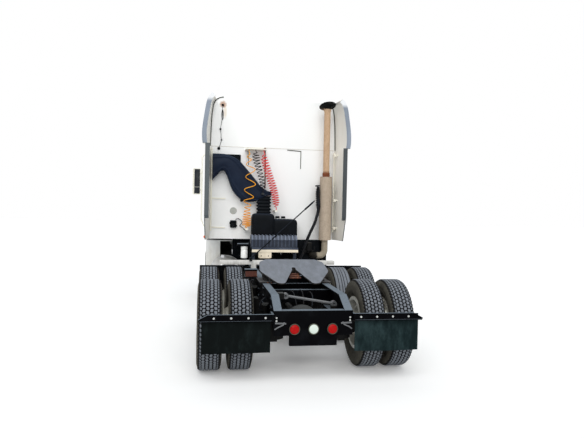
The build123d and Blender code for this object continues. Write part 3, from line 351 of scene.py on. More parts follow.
def noise(where, scale, detail=4.0, rough=0.6):
    """Value of a fractal noise at a place."""
    return node(where.id_data, "TexNoise", {"Vector": where, "Scale": scale, "Detail": detail,
                                            "Roughness": rough}).outputs["Fac"]


def stretched(where, scale):
    """Coordinates scaled differently along each axis."""
    return node(where.id_data, "Mapping", {"Vector": where, "Scale": scale}).outputs["Vector"]


def group(name, build, outputs, **inputs):
    """A node group: inputs with four values and the output Colour are colours, and all others are numbers."""
    kinds = {True: "NodeSocketColor", False: "NodeSocketFloat"}
    tree = bpy.data.node_groups.new(name, "ShaderNodeTree")
    for key, default in inputs.items():
        socket = tree.interface.new_socket(key, in_out="INPUT", socket_type=kinds[isinstance(default, tuple)])
        socket.default_value = default
    for key in outputs:
        tree.interface.new_socket(key, in_out="OUTPUT", socket_type=kinds[key == "Colour"])
    source = tree.nodes.new("NodeGroupInput")
    sink = tree.nodes.new("NodeGroupOutput")
    plug(sink, build(tree, {key: source.outputs[key] for key in inputs}))
    return tree


def build_dust(tree, given):
    """Dust lies on faces that look up, and in a cloudy film elsewhere."""
    where = place(tree)
    cloud = noise(where, 5.0, 6.0)
    lying = times(ramped(plus(facing(tree)["Z"], times(cloud, 0.3)), 0.45, 1.05), given["Amount"])
    film = times(ramped(cloud, 0.45, 0.75), given["Film"])
    grit = plus(0.65, times(noise(where, 60.0, 3.0), 0.6))
    mask = clamped(times(greater(lying, film), grit))
    return {"Colour": mixed(mask, given["Colour"], given["Dust"]), "Mask": mask}


def build_rust(tree, given):
    """Rust breaks out where a fractal noise passes a threshold, mottled by a finer one."""
    where = place(tree)
    edge = sums("SUBTRACT", 0.78, times(given["Amount"], 0.5))
    mask = ramped(noise(where, given["Scale"], 8.0, 0.68), edge, plus(edge, 0.09))
    fine = noise(where, times(given["Scale"], 9.0), 5.0, 0.7)
    orange = mixed(fine, tone(89, 47, 28), tone(179, 110, 68))
    return {"Colour": mixed(mask, given["Colour"], orange), "Height": times(mask, fine)}


def build_streaks(tree, given):
    """Runs of dirt: a noise stretched along Z, stronger towards a lower edge."""
    where = place(tree)
    runs = noise(stretched(where, (9.0, 9.0, 0.8)), 1.0, 7.0, 0.62)
    blotches = noise(where, 2.6, 6.0, 0.66)
    low = sums("SUBTRACT", 1.0, ramped(parts(where)["Z"], given["Low"], given["High"]))
    dirt = plus(plus(times(runs, 0.6), times(blotches, 0.4)), times(low, given["Foot"]))
    mask = clamped(times(ramped(dirt, 0.55, 1.0), given["Amount"]))
    return {"Colour": mixed(mask, given["Colour"], given["Dirt"]), "Mask": mask}


def build_grain(tree, given):
    """Fine moulded or brushed grain for bumps, with a slow wave under it."""
    where = place(tree)
    fine = times(noise(where, given["Scale"], 5.0, 0.55), given["Fine"])
    slow = times(noise(where, 3.0, 2.0, 0.5), given["Slow"])
    return {"Height": plus(fine, slow)}


DUST = group("surface_dust", build_dust, ("Colour", "Mask"), Colour=BLACK, Dust=WHITE, Amount=0.5, Film=0.1)
RUST = group("surface_rust", build_rust, ("Colour", "Height"), Colour=BLACK, Scale=8.0, Amount=0.3)
STREAKS = group("dirt_runs", build_streaks, ("Colour", "Mask"), Colour=WHITE, Dirt=BLACK, Amount=0.5, Low=1.3,
                High=2.0, Foot=0.3)
GRAIN = group("surface_grain", build_grain, ("Height",), Scale=200.0, Fine=1.0, Slow=0.5)


def effect(tree, kind, **values):
    """Outputs of a group node with its inputs set or linked."""
    made = tree.nodes.new("ShaderNodeGroup")
    made.node_tree = kind
    return plug(made, values).outputs


def rusted(tree, colour, scale, amount):
    """A colour with rust breaking through: outputs Colour and Height."""
    return effect(tree, RUST, Colour=colour, Scale=scale, Amount=amount)


def soiled(tree, colour, dirt, amount, low, high, foot):
    """A colour under runs of dirt between two heights: outputs Colour and Mask."""
    return effect(tree, STREAKS, Colour=colour, Dirt=tone(*dirt), Amount=amount, Low=low, High=high,
                  Foot=foot)


def dusty(tree, colour, dust, amount, film):
    """A colour under dust: outputs Colour and Mask."""
    return effect(tree, DUST, Colour=colour, Dust=tone(*dust), Amount=amount, Film=film)


def grained(tree, scale, fine, slow):
    """Height of a surface's grain."""
    return effect(tree, GRAIN, Scale=scale, Fine=fine, Slow=slow)["Height"]


# Finishes


def white_paint(tree):
    """White paint with runs of dirt, a rusty stain by the top knob and a brown run at the lower corner."""
    where = place(tree)
    paint = soiled(tree, tone(252, 253, 253), (200, 195, 176), 0.35, 1.25, 1.75, 0.2)

    def spot(around, centre, radius):
        """1 near a point and 0 beyond a radius, with a ragged edge."""
        away = vector_sums("DISTANCE", around, centre)["Value"]
        ragged = plus(away, times(noise(around, 30.0, 6.0, 0.7), radius * 0.8))
        return sums("SUBTRACT", 1.0, ramped(ragged, radius * 0.75, radius * 1.3))

    stain = spot(where, (WALL * MM, 0.897, 3.672), 0.085)
    run = spot(stretched(where, (1.0, 1.0, 0.25)), (WALL * MM, 0.862, 0.885), 0.04)
    marked = mixed(times(run, 0.35), paint["Colour"], tone(226, 190, 132))
    rusty = mixed(times(stain, 0.8), marked, tone(167, 110, 59))
    return rusty, plus(0.32, times(paint["Mask"], 0.4)), grained(tree, 40.0, 0.2, 1.0), 0.004


def painted(colour, dust, amount, film, rust, scale, rough):
    """Build of a paint or casting under dust, with rust breaking through."""
    def build(tree):
        worn = rusted(tree, tone(*colour), scale, rust)
        top = dusty(tree, worn["Colour"], dust, amount, film)
        height = plus(grained(tree, 90.0, 0.6, 0.4), worn["Height"])
        return top["Colour"], plus(rough, times(top["Mask"], 0.35)), height, 0.002
    return build


def moulded(colour, dust, amount, film, scale, rough):
    """Build of a plastic or rubber with moulded grain and dust."""
    def build(tree):
        top = dusty(tree, tone(*colour), dust, amount, film)
        return top["Colour"], plus(rough, times(top["Mask"], 0.3)), grained(tree, scale, 1.0, 0.3), 0.001
    return build


def tyre_rubber(tree):
    """Rubber whose worn tread tops are pale and whose sidewalls hold dust, by the radius attribute."""
    reach = node(tree, "Attribute", attribute_name="reach").outputs["Fac"]
    where = place(tree)
    side = mixed(noise(where, 12.0, 6.0), tone(42, 41, 38), tone(104, 101, 92))
    groove = mixed(ramped(reach, 0.90, 0.93), side, tone(12, 12, 14))
    top = mixed(noise(where, 45.0, 4.0), tone(94, 99, 108), tone(141, 146, 153))
    return mixed(ramped(reach, 0.965, 0.998), groove, top), 0.85, grained(tree, 180.0, 1.0, 0.0), 0.0012


def worn_steel(tree):
    """Coupling plate: grey metal smeared with old grease, scraped bright along the direction of travel."""
    where = place(tree)
    smear = noise(stretched(where, (2.5, 7.0, 7.0)), 1.6, 7.0, 0.62)
    base = mixed(ramped(smear, 0.3, 0.75), tone(106, 112, 121), tone(129, 135, 146))
    grease = ramped(noise(where, 4.5, 6.0, 0.6), 0.56, 0.68)
    top = rusted(tree, mixed(times(grease, 0.2), base, tone(71, 73, 80)), 9.0, 0.12)
    colour = mixed(ramped(facing(tree)["Z"], 0.55, 0.85), tone(42, 38, 35), top["Colour"])
    return colour, plus(0.42, times(smear, 0.25)), smear, 0.002


def exhaust_steel(tree):
    """Stack by height: pale elbow, taupe silencer, dark neck, tan pipe and black hat; sooty inner end."""
    where = place(tree)
    height, mottle, fine = parts(where)["Z"], noise(where, 14.0, 8.0, 0.7), noise(where, 70.0, 5.0, 0.7)
    uneven = plus(height, times(mottle, 0.05))
    inboard = plus(parts(where)["Y"], times(mottle, 0.05))
    colour = mixed(mottle, tone(138, 128, 112), tone(168, 158, 141))
    for level, low, high, dark, pale in (
            (height, 1.34, 1.352, (158, 142, 125), (202, 186, 167)),
            (height, 2.448, 2.462, (85, 47, 33), (146, 85, 56)),
            (uneven, 2.54, 2.60, (174, 142, 112), (216, 185, 154)),
            (uneven, 3.655, 3.69, (5, 8, 8), (20, 24, 24)),
            (inboard, -0.76, -0.72, (19, 18, 17), (49, 45, 40))):
        colour = mixed(ramped(level, low, high), colour, mixed(mottle, tone(*dark), tone(*pale)))
    shade = mixed(ramped(fine, 0.35, 0.65), BLACK, WHITE)
    return mixed(0.12, colour, shade, "OVERLAY"), 0.68, plus(fine, mottle), 0.002


def cream_paint(tree):
    """Cream paint with a little rust and runs of dirt."""
    paint = rusted(tree, CREAM, 12.0, 0.1)
    dirty = soiled(tree, paint["Colour"], (155, 146, 120), 0.6, 1.2, 2.4, 0.2)
    return dirty["Colour"], 0.45, paint["Height"], 0.001


def stay_paint(tree):
    """Cream tubes and arm, and a black holder where the cable ends on the duct."""
    split = parts(place(tree))
    paint = rusted(tree, CREAM, 12.0, 0.1)
    beside = sums("ABSOLUTE", sums("SUBTRACT", split["Y"], 0.205))
    held = times(ramped(beside, 0.05, 0.04), ramped(split["Z"], 2.4, 2.3))
    return mixed(held, paint["Colour"], tone(16, 20, 26)), 0.5, paint["Height"], 0.001


def extender_paint(tree):
    """Side extender: white faces and a blue-grey rear lip, with painted shade on the right and above the roof
    seam.
    """
    split = parts(place(tree))
    cloud = noise(stretched(place(tree), (14.0, 14.0, 2.0)), 1.0, 6.0, 0.6)

    def clouded(dark, pale):
        return mixed(cloud, tone(*dark), tone(*pale))

    # Below the roof seam the right lip (Y below 0) is a darker copy of the left one's blue-grey: painted
    # shade.
    lower = mixed(ramped(split["Y"], -0.1, 0.1), clouded((28, 34, 38), (63, 71, 75)),
                  clouded((59, 67, 71), (94, 102, 106)))
    # Above the seam the white fairing's rear faces are painted a paler, bluer grey: painted shade.
    upper = clouded((110, 120, 132), (153, 163, 179))
    crown = mixed(ramped(split["Z"], 3.60, 3.68), upper, tone(238, 240, 243))
    lip = mixed(ramped(split["Z"], 2.925, 2.935), lower, crown)
    rearward = ramped(facing(tree)["X"], -0.3, -0.42)
    return mixed(rearward, clouded((244, 241, 232), (252, 252, 248)), lip), 0.5, cloud, 0.001


def fender_paint(tree):
    """Fender: white outside, and black inside, which is painted shade on its inner faces."""
    where, start = place(tree), back(1958) * MM
    paint = soiled(tree, tone(248, 249, 248), (190, 181, 155), 0.6, 0.9, 1.3, 0.25)
    # A mottled black on the faces inside the sides and behind the rear edge: painted shade.
    side = ramped(sums("ABSOLUTE", parts(where)["Y"]), 1.129, 1.127)
    inside = times(side, ramped(parts(where)["X"], start - 0.001, start + 0.001))
    return mixed(inside, paint["Colour"], mixed(noise(where, 9.0), tone(12, 12, 13), tone(33, 32, 31))), 0.45


def deck_paint(tree):
    """Deck box: blue-grey plastic with painted shade between its ribs, over a cream bar and plate and a paler
    beam.
    """
    where = place(tree)
    split = parts(where)

    def behind(distance, run=1):
        """1 behind a distance from the bumper, within a run of millimetres on each side of it."""
        return ramped(split["X"], back(distance - run) * MM, back(distance + run) * MM)

    plastic = dusty(tree, tone(63, 71, 87), (150, 160, 179), 0.7, 0.2)["Colour"]
    steel = rusted(tree, tone(252, 240, 218), 10.0, 0.2)["Colour"]
    cream = soiled(tree, steel, (143, 120, 92), 0.6, 1.0, 1.3, 0.3)["Colour"]
    beam = soiled(tree, tone(242, 241, 237), (108, 103, 94), 0.7, 0.98, 1.1, 0.3)["Colour"]
    away = vector_sums("SUBTRACT", where, (back(3478) * MM, 0, 1.430))[0]
    above_slope = ramped(vector_sums("DOT_PRODUCT", away, (-0.713, 0, 0.701))["Value"], 0.006, 0.010)
    raised = greater(greater(above_slope, ramped(split["Z"], 1.436, 1.440)), behind(3544, 2))
    # Between the ribs the plastic is mixed towards dark blue-grey: painted shade.
    ribbed = mixed(raised, mixed(0.55, plastic, tone(24, 27, 34)), plastic)
    hung = times(ramped(split["Z"], 1.216, 1.213), behind(3539))
    return mixed(behind(3600), mixed(hung, ribbed, cream), beam), 0.5


def hose_plastic(colour, pale):
    """Build of a plastic hose: dull, paler where the sun has bleached it, dirtier in between."""
    def build(tree):
        where = place(tree)
        bleached = times(ramped(noise(where, 3.5, 4.0), 0.5, 0.72), 0.55)
        grime = times(ramped(noise(where, 22.0, 4.0), 0.52, 0.75), 0.3)
        return mixed(grime, mixed(bleached, tone(*colour), tone(*pale)), tone(73, 61, 54)), 0.42
    return build


def seat_cloth(tree):
    """Woven cloth: two crossed waves for the threads and a fleck of lighter yarn."""
    where = place(tree)
    warp, weft = (node(tree, "TexWave", {"Vector": where, "Scale": 160.0}, bands_direction=way).outputs["Fac"]
                  for way in ("Y", "X"))
    fleck = ramped(noise(where, 120.0, 3.0), 0.5, 0.7)
    return mixed(fleck, tone(75, 80, 96), tone(134, 139, 155)), 0.9, times(warp, weft), 0.001


def flap_rubber(tree):
    """Flap rubber: near black, with blue-grey runs where the right flap is scuffed."""
    where = place(tree)
    runs = noise(stretched(where, (6.0, 9.0, 4.0)), 1.0, 7.0, 0.66)
    scuffed = mixed(ramped(runs, 0.36, 0.72), tone(12, 26, 28), tone(40, 56, 58))
    plain = mixed(ramped(runs, 0.5, 0.8), tone(4, 9, 9), tone(24, 32, 32))
    colour = mixed(ramped(parts(where)["Y"], -0.05, 0.05), scuffed, plain)
    return colour, 0.75, grained(tree, 120.0, 1.0, 0.5), 0.001


def smudged(colour, rough):
    """Build of glass with a faint smeared film that dulls its shine."""
    def build(tree):
        smears = noise(stretched(place(tree), (3.0, 3.0, 1.2)), 2.0, 6.0, 0.65)
        film = times(ramped(smears, 0.45, 0.8), 0.12)
        return mixed(film, tone(*colour), tone(179, 176, 167)), plus(rough, film)
    return build


def lens(*colour):
    """Build of a lamp lens with small optic cells."""
    def build(tree):
        cells = node(tree, "TexVoronoi", {"Vector": place(tree), "Scale": 120.0}).outputs["Distance"]
        return tone(*colour), 0.16, cells, 0.0015
    return build


FINISHES = {}


def finish(name, build, shine=None, **constants):
    """A material: build returns colour and roughness, and a bump's height and depth where it has one.

    Shine goes on the shader's specular level, and the constants on the inputs that they name.
    """
    material = bpy.data.materials.new(name)
    material.use_nodes = True
    tree = material.node_tree
    shader = tree.nodes["Principled BSDF"]
    colour, rough, *bumps = build(tree)
    plug(shader, {"Base Color": colour, "Roughness": rough})
    if bumps:
        bump = node(tree, "Bump", {"Height": bumps[0], "Distance": bumps[1], "Strength": 0.6})
        plug(shader, {"Normal": bump.outputs["Normal"]})
    if shine is not None:
        plug(shader, {"Specular IOR Level": shine})
    plug(shader, {key.replace("_", " "): value for key, value in constants.items()})
    FINISHES[name] = material


finish("white_paint", white_paint, Coat_Weight=0.25, Coat_Roughness=0.2)
finish("frame_paint", painted((1, 1, 3), (120, 130, 140), 0.95, 0.02, 0.05, 9.0, 0.55), 0.04)
finish("axle_iron", painted((13, 13, 13), (92, 94, 94), 0.7, 0.1, 0.22, 8.0, 0.6), 0.12)
finish("engine_iron", painted((19, 19, 20), (85, 82, 78), 0.5, 0.08, 0.15, 6.0, 0.6), 0.12)
finish("stand_iron", painted((21, 20, 20), (101, 101, 103), 0.8, 0.12, 0.45, 8.0, 0.6), 0.15)
finish("bright_bolt", painted((200, 202, 200), (179, 176, 167), 0.2, 0.1, 0.1, 30.0, 0.35), Metallic=0.5)
finish("worn_steel", worn_steel, Metallic=0.25)
finish("tyre_rubber", tyre_rubber, 0.15)
finish("rim_steel", painted((233, 233, 226), (143, 134, 115), 0.5, 0.5, 0.22, 14.0, 0.45))
finish("fender_paint", fender_paint, Coat_Weight=0.2)
finish("deck_paint", deck_paint, 0.2)
finish("rusty_iron", painted((85, 42, 31), (125, 101, 89), 0.5, 0.1, 0.5, 12.0, 0.75))
finish("worn_iron", painted((94, 96, 99), (141, 143, 146), 0.7, 0.2, 0.06, 9.0, 0.5))
finish("cream_steel", cream_paint)
finish("stay_paint", stay_paint)
finish("window_glass", smudged((202, 218, 218), 0.03), Transmission_Weight=1.0, IOR=1.45)
# Dark mirror colour stands in for what the mirrors reflect: a painted reflection.
finish("mirror_glass", smudged((19, 26, 35), 0.04), 0.3)
finish("lamp_glass", smudged((240, 240, 242), 0.04), Transmission_Weight=0.9, IOR=1.5)
finish("lamp_lens", lens(169, 0, 0), 0.15)
finish("clear_lens", lens(218, 230, 221), 0.15)
finish("amber_lens", lens(243, 106, 26), 0.2)
finish("dark_plastic", moulded((6, 10, 15), (54, 63, 78), 0.4, 0.05, 260.0, 0.6), 0.1)
finish("duct_plastic", moulded((17, 28, 47), (54, 71, 94), 0.5, 0.12, 200.0, 0.5), 0.12)
finish("flap_rubber", flap_rubber, 0.08)
finish("seal_rubber", moulded((54, 56, 45), (115, 118, 101), 0.4, 0.3, 150.0, 0.7))
finish("tank_alloy", painted((202, 204, 207), (153, 146, 132), 0.5, 0.3, 0.05, 10.0, 0.3), Metallic=0.8)
finish("exhaust_steel", exhaust_steel, 0.15)
finish("trim_plastic", moulded((85, 86, 89), (143, 141, 134), 0.3, 0.05, 300.0, 0.6))
finish("seat_fabric", seat_cloth, Sheen_Weight=0.4)
finish("extender_paint", extender_paint)
finish("red_hose", hose_plastic((226, 12, 28), (243, 59, 68)), 0.3)
finish("yellow_hose", hose_plastic((250, 166, 14), (248, 208, 100)), 0.3)
finish("black_hose", hose_plastic((12, 14, 19), (42, 49, 59)), 0.15)
finish("seam_seal", moulded((209, 204, 193), (179, 174, 160), 0.2, 0.3, 150.0, 0.7))
finish("screen_rubber", moulded((12, 12, 13), (70, 70, 66), 0.2, 0.1, 150.0, 0.6))
finish("pale_plastic", moulded((179, 181, 176), (223, 223, 216), 0.3, 0.3, 200.0, 0.6))

CAD_FINISHES = {"side_extenders": "extender_paint", "fifth_wheel_stands": "stand_iron",
                "deck_box": "deck_paint", "front_fenders": "fender_paint", "cab_stays": "stay_paint"}
for part in frame["record"]["subparts"]:
    wanted = FINISHES[CAD_FINISHES.get(part["node"], part["material_slot"])]
    cad = frame["nodes"][part["node"]]
    if not cad.material_slots:
        cad.data.materials.append(wanted)
    for holder in cad.material_slots:
        holder.material = wanted


# Camera


def camera():
    """The photograph's camera: place, yaw to the right, pitch down and roll fitted to known sizes."""
    yaw, pitch, roll = 0.1632, 0.0172, 0.0215
    ahead = Vector((math.cos(yaw) * math.cos(pitch), -math.sin(yaw) * math.cos(pitch), -math.sin(pitch)))
    right = Vector((-math.sin(yaw), -math.cos(yaw), 0))
    upward = right.cross(ahead)
    turned_right = math.cos(roll) * right + math.sin(roll) * upward
    turned_up = -math.sin(roll) * right + math.cos(roll) * upward
    basis = Matrix((turned_right, turned_up, -ahead)).transposed()
    data = bpy.data.cameras.new("camera")
    data.lens, data.sensor_width, data.sensor_fit = 32.29, 36.0, "HORIZONTAL"
    data.clip_end = 200
    made = bpy.data.objects.new("camera", data)
    made.matrix_world = Matrix.Translation((-8.7349, 1.1601, 1.8686)) @ basis.to_4x4()
    bpy.context.scene.collection.objects.link(made)
    bpy.context.scene.camera = made


# Cords


def nurbs(name, points, resolution):
    """Curve data with one spline of order 3 that has the points as its control points and ends on them."""
    data = bpy.data.curves.new(name, "CURVE")
    data.dimensions = "3D"
    spline = data.splines.new("NURBS")
    spline.points.add(len(points) - 1)
    spline.points.foreach_set("co", np.column_stack([points, np.ones(len(points))]).ravel())
    spline.order_u = 3
    spline.use_endpoint_u = True
    data.resolution_u = resolution
    return data


def line_of(data):
    """Points along the line of curve data without thickness, which is used up."""
    holder = bpy.data.objects.new("measured", data)
    mesh = bpy.data.meshes.new_from_object(holder)
    found = np.zeros(len(mesh.vertices) * 3)
    mesh.vertices.foreach_get("co", found)
    bpy.data.objects.remove(holder)
    bpy.data.meshes.remove(mesh)
    bpy.data.curves.remove(data)
    return found.reshape(-1, 3)


def coil(route, radius, pitch, straight, flat=1.0):
    """Helix about a route: its turn grows with the length along it over the pitch, and fades at both ends.

    radius and pitch are values at even shares of the route's length; straight is the run of each end's fade,
    and flat the share of the radius left in depth. The points thin out where the line runs straight.
    """
    samples, per_turn, longest = 1500, 12, 25.0
    line = line_of(nurbs("route", np.asarray(route, float), 24))
    runs = np.concatenate([[0], np.cumsum(np.linalg.norm(np.diff(line, axis=0), axis=1))])
    fine = np.linspace(0, runs[-1], samples)
    path = np.stack([np.interp(fine, runs, line[:, i]) for i in range(3)], 1)

    def spread(values):
        return np.interp(fine / runs[-1], np.linspace(0, 1, len(values)), values)

    def eased(value):
        bounded = np.clip(value, 0, 1)
        return bounded * bounded * (3 - 2 * bounded)

    def faded(share):
        return eased(fine / straight[0] * share) * eased((runs[-1] - fine) / straight[1] * share)

    rate = 2 * math.pi / spread(pitch) * faded(1.0)
    turn = np.concatenate([[0], np.cumsum((rate[1:] + rate[:-1]) / 2 * np.diff(fine))])
    first, second = frames_along(path)
    away = (spread(radius) * faded(0.8))[:, None]
    helix = path + away * (flat * np.cos(turn)[:, None] * first + np.sin(turn)[:, None] * second)
    steps = np.maximum(np.diff(turn) / (2 * math.pi) * per_turn, np.diff(fine) / longest)
    steps = np.concatenate([[0], np.cumsum(steps)])
    wanted = np.linspace(0, steps[-1], int(steps[-1]) + 2)
    return np.stack([np.interp(wanted, steps, helix[:, i]) for i in range(3)], 1)


def cord(name, points, diameter, body, slot="black_hose", replaces=()):
    """A round line from the object back into it, along its points."""
    points = np.asarray(points, float) * MM
    data = nurbs(name, points, 3 if len(points) > 60 else 8)
    data.bevel_depth = diameter / 2 * MM
    data.bevel_resolution = 2
    data.use_fill_caps = True
    bare = data.copy()
    bare.bevel_depth = 0
    length = float(np.linalg.norm(np.diff(line_of(bare), axis=0), axis=1).sum())
    made = placed(name, data, body, slot, replaces=replaces)


def air_lines():
    """The coiled air lines and the coiled cable behind the cab, from the upper arm to their lower holders.

    Each has its route in Y and Z, its turns' radii and pitches, its ends' fades, its flatness and its finish.
    """
    lines = {
        "air_line_red": (
            [(200, 2884), (200, 2750), (152, 2590), (92, 2420), (30, 2250), (-14, 2080), (-30, 1950),
             (-30, 1860)],
            (30, 58, 60, 62, 62, 58, 52), (60, 50, 46, 44, 42, 40, 36), (130, 110), 1.0, "red_hose"),
        "air_line_yellow": (
            [(456, 2884), (456, 2740), (430, 2580), (412, 2420), (424, 2260), (446, 2090), (462, 1920),
             (470, 1740), (470, 1540)],
            (20, 40, 84, 92, 90, 84, 46, 70, 84), (70, 110, 240, 240, 230, 180, 64, 36, 27), (110, 50), 0.45,
            "yellow_hose"),
        "cable_black": (
            [(340, 2884), (340, 2760), (302, 2620), (256, 2480), (220, 2340), (205, 2230), (205, 2150)],
            (52, 60, 52, 46, 42, 38), (40, 46, 60, 60, 50, 44), (90, 110), 0.9, "black_hose"),
    }
    for name, (route, radius, pitch, straight, flat, slot) in lines.items():
        helix = coil([(HOSE_X, y, z) for y, z in route], radius, pitch, straight, flat)
        cord(name + "_coil", helix, 14.0, "cab", slot, [name])


# Tyres

SIDEWALL = [(96, 286.5), (103, 288), (106, 300), (104.5, 321), (106, 328), (117, 344), (121, 346), (124, 352),
            (132, 372), (134.5, 373), (136, 377), (139, 398), (139.4, 416), (138, 436), (139, 437.5),
            (138.5, 441), (136, 458), (131, 476), (124, 492), (115, 502)]
BLOCK_BASE = [(104, 506), (60, 507.5)]
RIBS = [(104, 506), (103, 519), (97, 520), (66, 520), (64, 508), (58, 508), (56, 520), (22, 520), (20, 508),
        (14, 508), (12, 520)]


def tread_blocks(side, centre, pitches=70):
    """Octagon blocks in six staggered columns: each corner goes round by its place over the radius.

    A block has three rings of corners, its base, neck and inset top, each with a size and a depth, and the
    outer columns' tops fall towards the shoulder.
    """
    corner = np.array([(-1, -0.5), (-0.62, -1), (0.62, -1), (1, -0.5), (1, 0.5), (0.62, 1), (-0.62, 1),
                       (-1, 0.5)])
    columns = [(-105, 19.0), (-63.5, 16.0), (-21.5, 16.0), (21.5, 16.0), (63.5, 16.0), (105, 19.0)]
    rings = [(1.04, -17.0), (0.98, -3.5), (0.86, 0.0)]
    _, block = capped(np.zeros((len(rings), len(corner), 3)))
    faces = repeated(block, pitches, len(rings) * len(corner))
    half_length = 2 * math.pi * TYRE_RADIUS / pitches * 0.415
    depth = np.repeat([level for _, level in rings], len(corner))
    forms = []
    for number, (across, half) in enumerate(columns):
        turn = 2 * math.pi * (np.arange(pitches) + 0.5 * (number % 2)) / pitches
        around = np.concatenate([corner[:, 0] * half_length * size for size, _ in rings])
        over = np.concatenate([corner[:, 1] * half * size for size, _ in rings]) + across
        over = over + 0.16 * around * (1 if number % 2 else -1)
        fall = np.maximum(np.abs(over) - 97, 0) * (0.62 if abs(across) > 90 else 0)
        radius = TYRE_RADIUS + depth - fall
        angle = turn[:, None] + (around / TYRE_RADIUS)[None, :]
        points = np.stack([radius * np.sin(angle), np.broadcast_to(over + side, angle.shape),
                           radius * np.cos(angle)], -1)
        forms.append(((points + centre).reshape(-1, 3), faces))
    return joined(*forms)


def tyre(name, body, sides, centre, smooth, replaced):
    """Tyres on one axle end: a half profile and its mirror turned about the axle, with ribs or under blocks.

    The reach attribute holds each point's distance from the axle, from bead 0 to tread 1.
    """
    forms = []
    for side in sides:
        half = SIDEWALL + (RIBS if side in smooth else BLOCK_BASE)
        crown = [] if side in smooth else [(side, 508)]
        profile = [(side - y, r) for y, r in half] + crown + [(side + y, r) for y, r in reversed(half)]
        forms.append(turned(profile, centre, "Y", 96, closed=True))
        if side not in smooth:
            forms.append(tread_blocks(side, np.asarray(centre, float)))
    mesh = piece(name, forms, body, "tyre_rubber", replaces=[replaced], angle=40).data
    places = np.zeros(len(mesh.vertices) * 3)
    mesh.vertices.foreach_get("co", places)
    x, _, z = places.reshape(-1, 3).T
    away = np.hypot(x - centre[0] * MM, z - HUB * MM) / MM
    reach = mesh.attributes.new("reach", "FLOAT", "POINT")
    reach.data.foreach_set("value", ((away - BEAD_RADIUS) / (TYRE_RADIUS - BEAD_RADIUS)).astype(np.float32))


def tyres():
    """Twin tyres on the drive axles, one of them worn to ribs, and ribbed single ones in front."""
    half = DUAL_SPACING / 2
    for row, x in DRIVE_AXLES.items():
        for hand, sign in HANDS:
            smooth = [half] if (row, hand) == ("front", "right") else []
            tyre(f"tyre_pair_{row}_{hand}", f"wheels_{row}_drive_{hand}", (-sign * half, sign * half),
                 (x, sign * DUAL_CENTRE, HUB), smooth, f"tyres_{row}_drive_{hand}")
    for hand, sign in HANDS:
        tyre(f"tyre_front_{hand}", f"wheel_steer_{hand}", [0], (FRONT_AXLE, sign * STEER_SIDE, HUB), [0],
             f"tyre_steer_{hand}")


def wheel_nuts():
    """Ten nuts round each outer disc, and studs' tips on them."""
    turn = circle(10)
    for hand, sign in HANDS:
        axis = "Y" if sign > 0 else "-Y"
        ends = [(f"{row}_{hand}", f"wheels_{row}_drive_{hand}", x, DUAL_CENTRE + DISC_FACE)
                for row, x in DRIVE_AXLES.items()]
        ends.append((f"steer_{hand}", f"wheel_steer_{hand}", FRONT_AXLE, STEER_SIDE + STEER_FACE))
        for name, body, x, face in ends:
            places = np.stack([x + NUT_CIRCLE * np.cos(turn), np.full(10, sign * face),
                               HUB + NUT_CIRCLE * np.sin(turn)], 1)
            forms = [nuts(places, axis, 16.0, 22.0), nuts(places, axis, 8.0, 34.0)]
            piece("nuts_" + name, forms, body, "rim_steel", "bright_bolt")


# Frame


def bolts():
    """Bright bolts along the hangers, and paired ones on the frame's end and rails."""
    hangers = [(FRAME_END - 18, sign * y, 728) for sign in (-1, 1) for y in (520, 700, 880, 1060)]
    ends = [(FRAME_END, sign * 402, z) for sign in (-1, 1) for z in (690, 722)]
    piece("hanger_bolts", [nuts(hangers, "-X", 8.5, 8)], "chassis", "frame_paint", "bright_bolt")
    piece("end_bolts", [nuts(ends, "-X", 7.5, 8)], "chassis", "frame_paint", "bright_bolt")
    rails = [nuts([(x + dx, sign * 432, z) for x in (-3050, -2250, -1700, -860, -350) for dx in (0, 60)
                   for z in (700, 790, 880)], axis, 13, 10) for sign, axis in ((1, "Y"), (-1, "-Y"))]
    piece("rail_bolts", rails, "chassis", "frame_paint")


def rear_lamps():
    """Round lamps: a rubber ring with a rolled lip, and a domed lens in it."""
    for name, y, finish_name in (("left", 207, "lamp_lens"), ("middle", 0, "clear_lens"),
                                 ("right", -207, "lamp_lens")):
        centre = (FRAME_END, y, 601)
        ring = [(0, 58), (-12, 60), (-18, 58), (-20, 54), (-17, 50.5), (-10, 50), (0, 50)]
        dome = [(-2, 50), (-16, 50), (-21, 47), (-25, 36), (-25.5, 34), (-27.2, 20), (-28, AXIS)]
        piece(f"lamp_{name}", [stud(dome, centre, "X", 48)], "chassis", "lamp_lens", finish_name,
              ["rear_lamps"], 25)
        piece(f"lamp_ring_{name}", [turned(ring, centre, "X", 48, closed=True)], "chassis", "lamp_lens",
              "seal_rubber")


def mudflaps():
    """Rubber flaps: flat under the hanger and bellied towards the foot, by a sine of the height and width."""
    near, far, top, foot, thick = 462, 1185, 756, 352, 8.0
    v = np.linspace(0, 1, 15)[:, None]
    u = np.linspace(0, 1, 25)[None, :]
    for (hand, sign), belly in zip(HANDS, (0.0, 46.0)):
        curl = belly * np.sin(v * math.pi / 2) ** 2 * np.sin(u * math.pi) ** 0.7
        ripple = 5 * np.sin(u * 9 + 1) * v ** 2
        x = FRAME_END + 20 - curl * 0.55 + ripple * 0.4
        y = sign * (near + (far - near) * u) + 0 * v
        front = np.stack([x, y, top - (top - foot) * v + 0 * u], -1)
        rear = front - np.array([thick, 0, 0])
        form = capped(np.concatenate([front, rear[:, ::-1]], 1))
        piece(f"mudflap_{hand}", [form], "chassis", "flap_rubber", replaces=["mudflaps"], angle=40)


# Rear wall


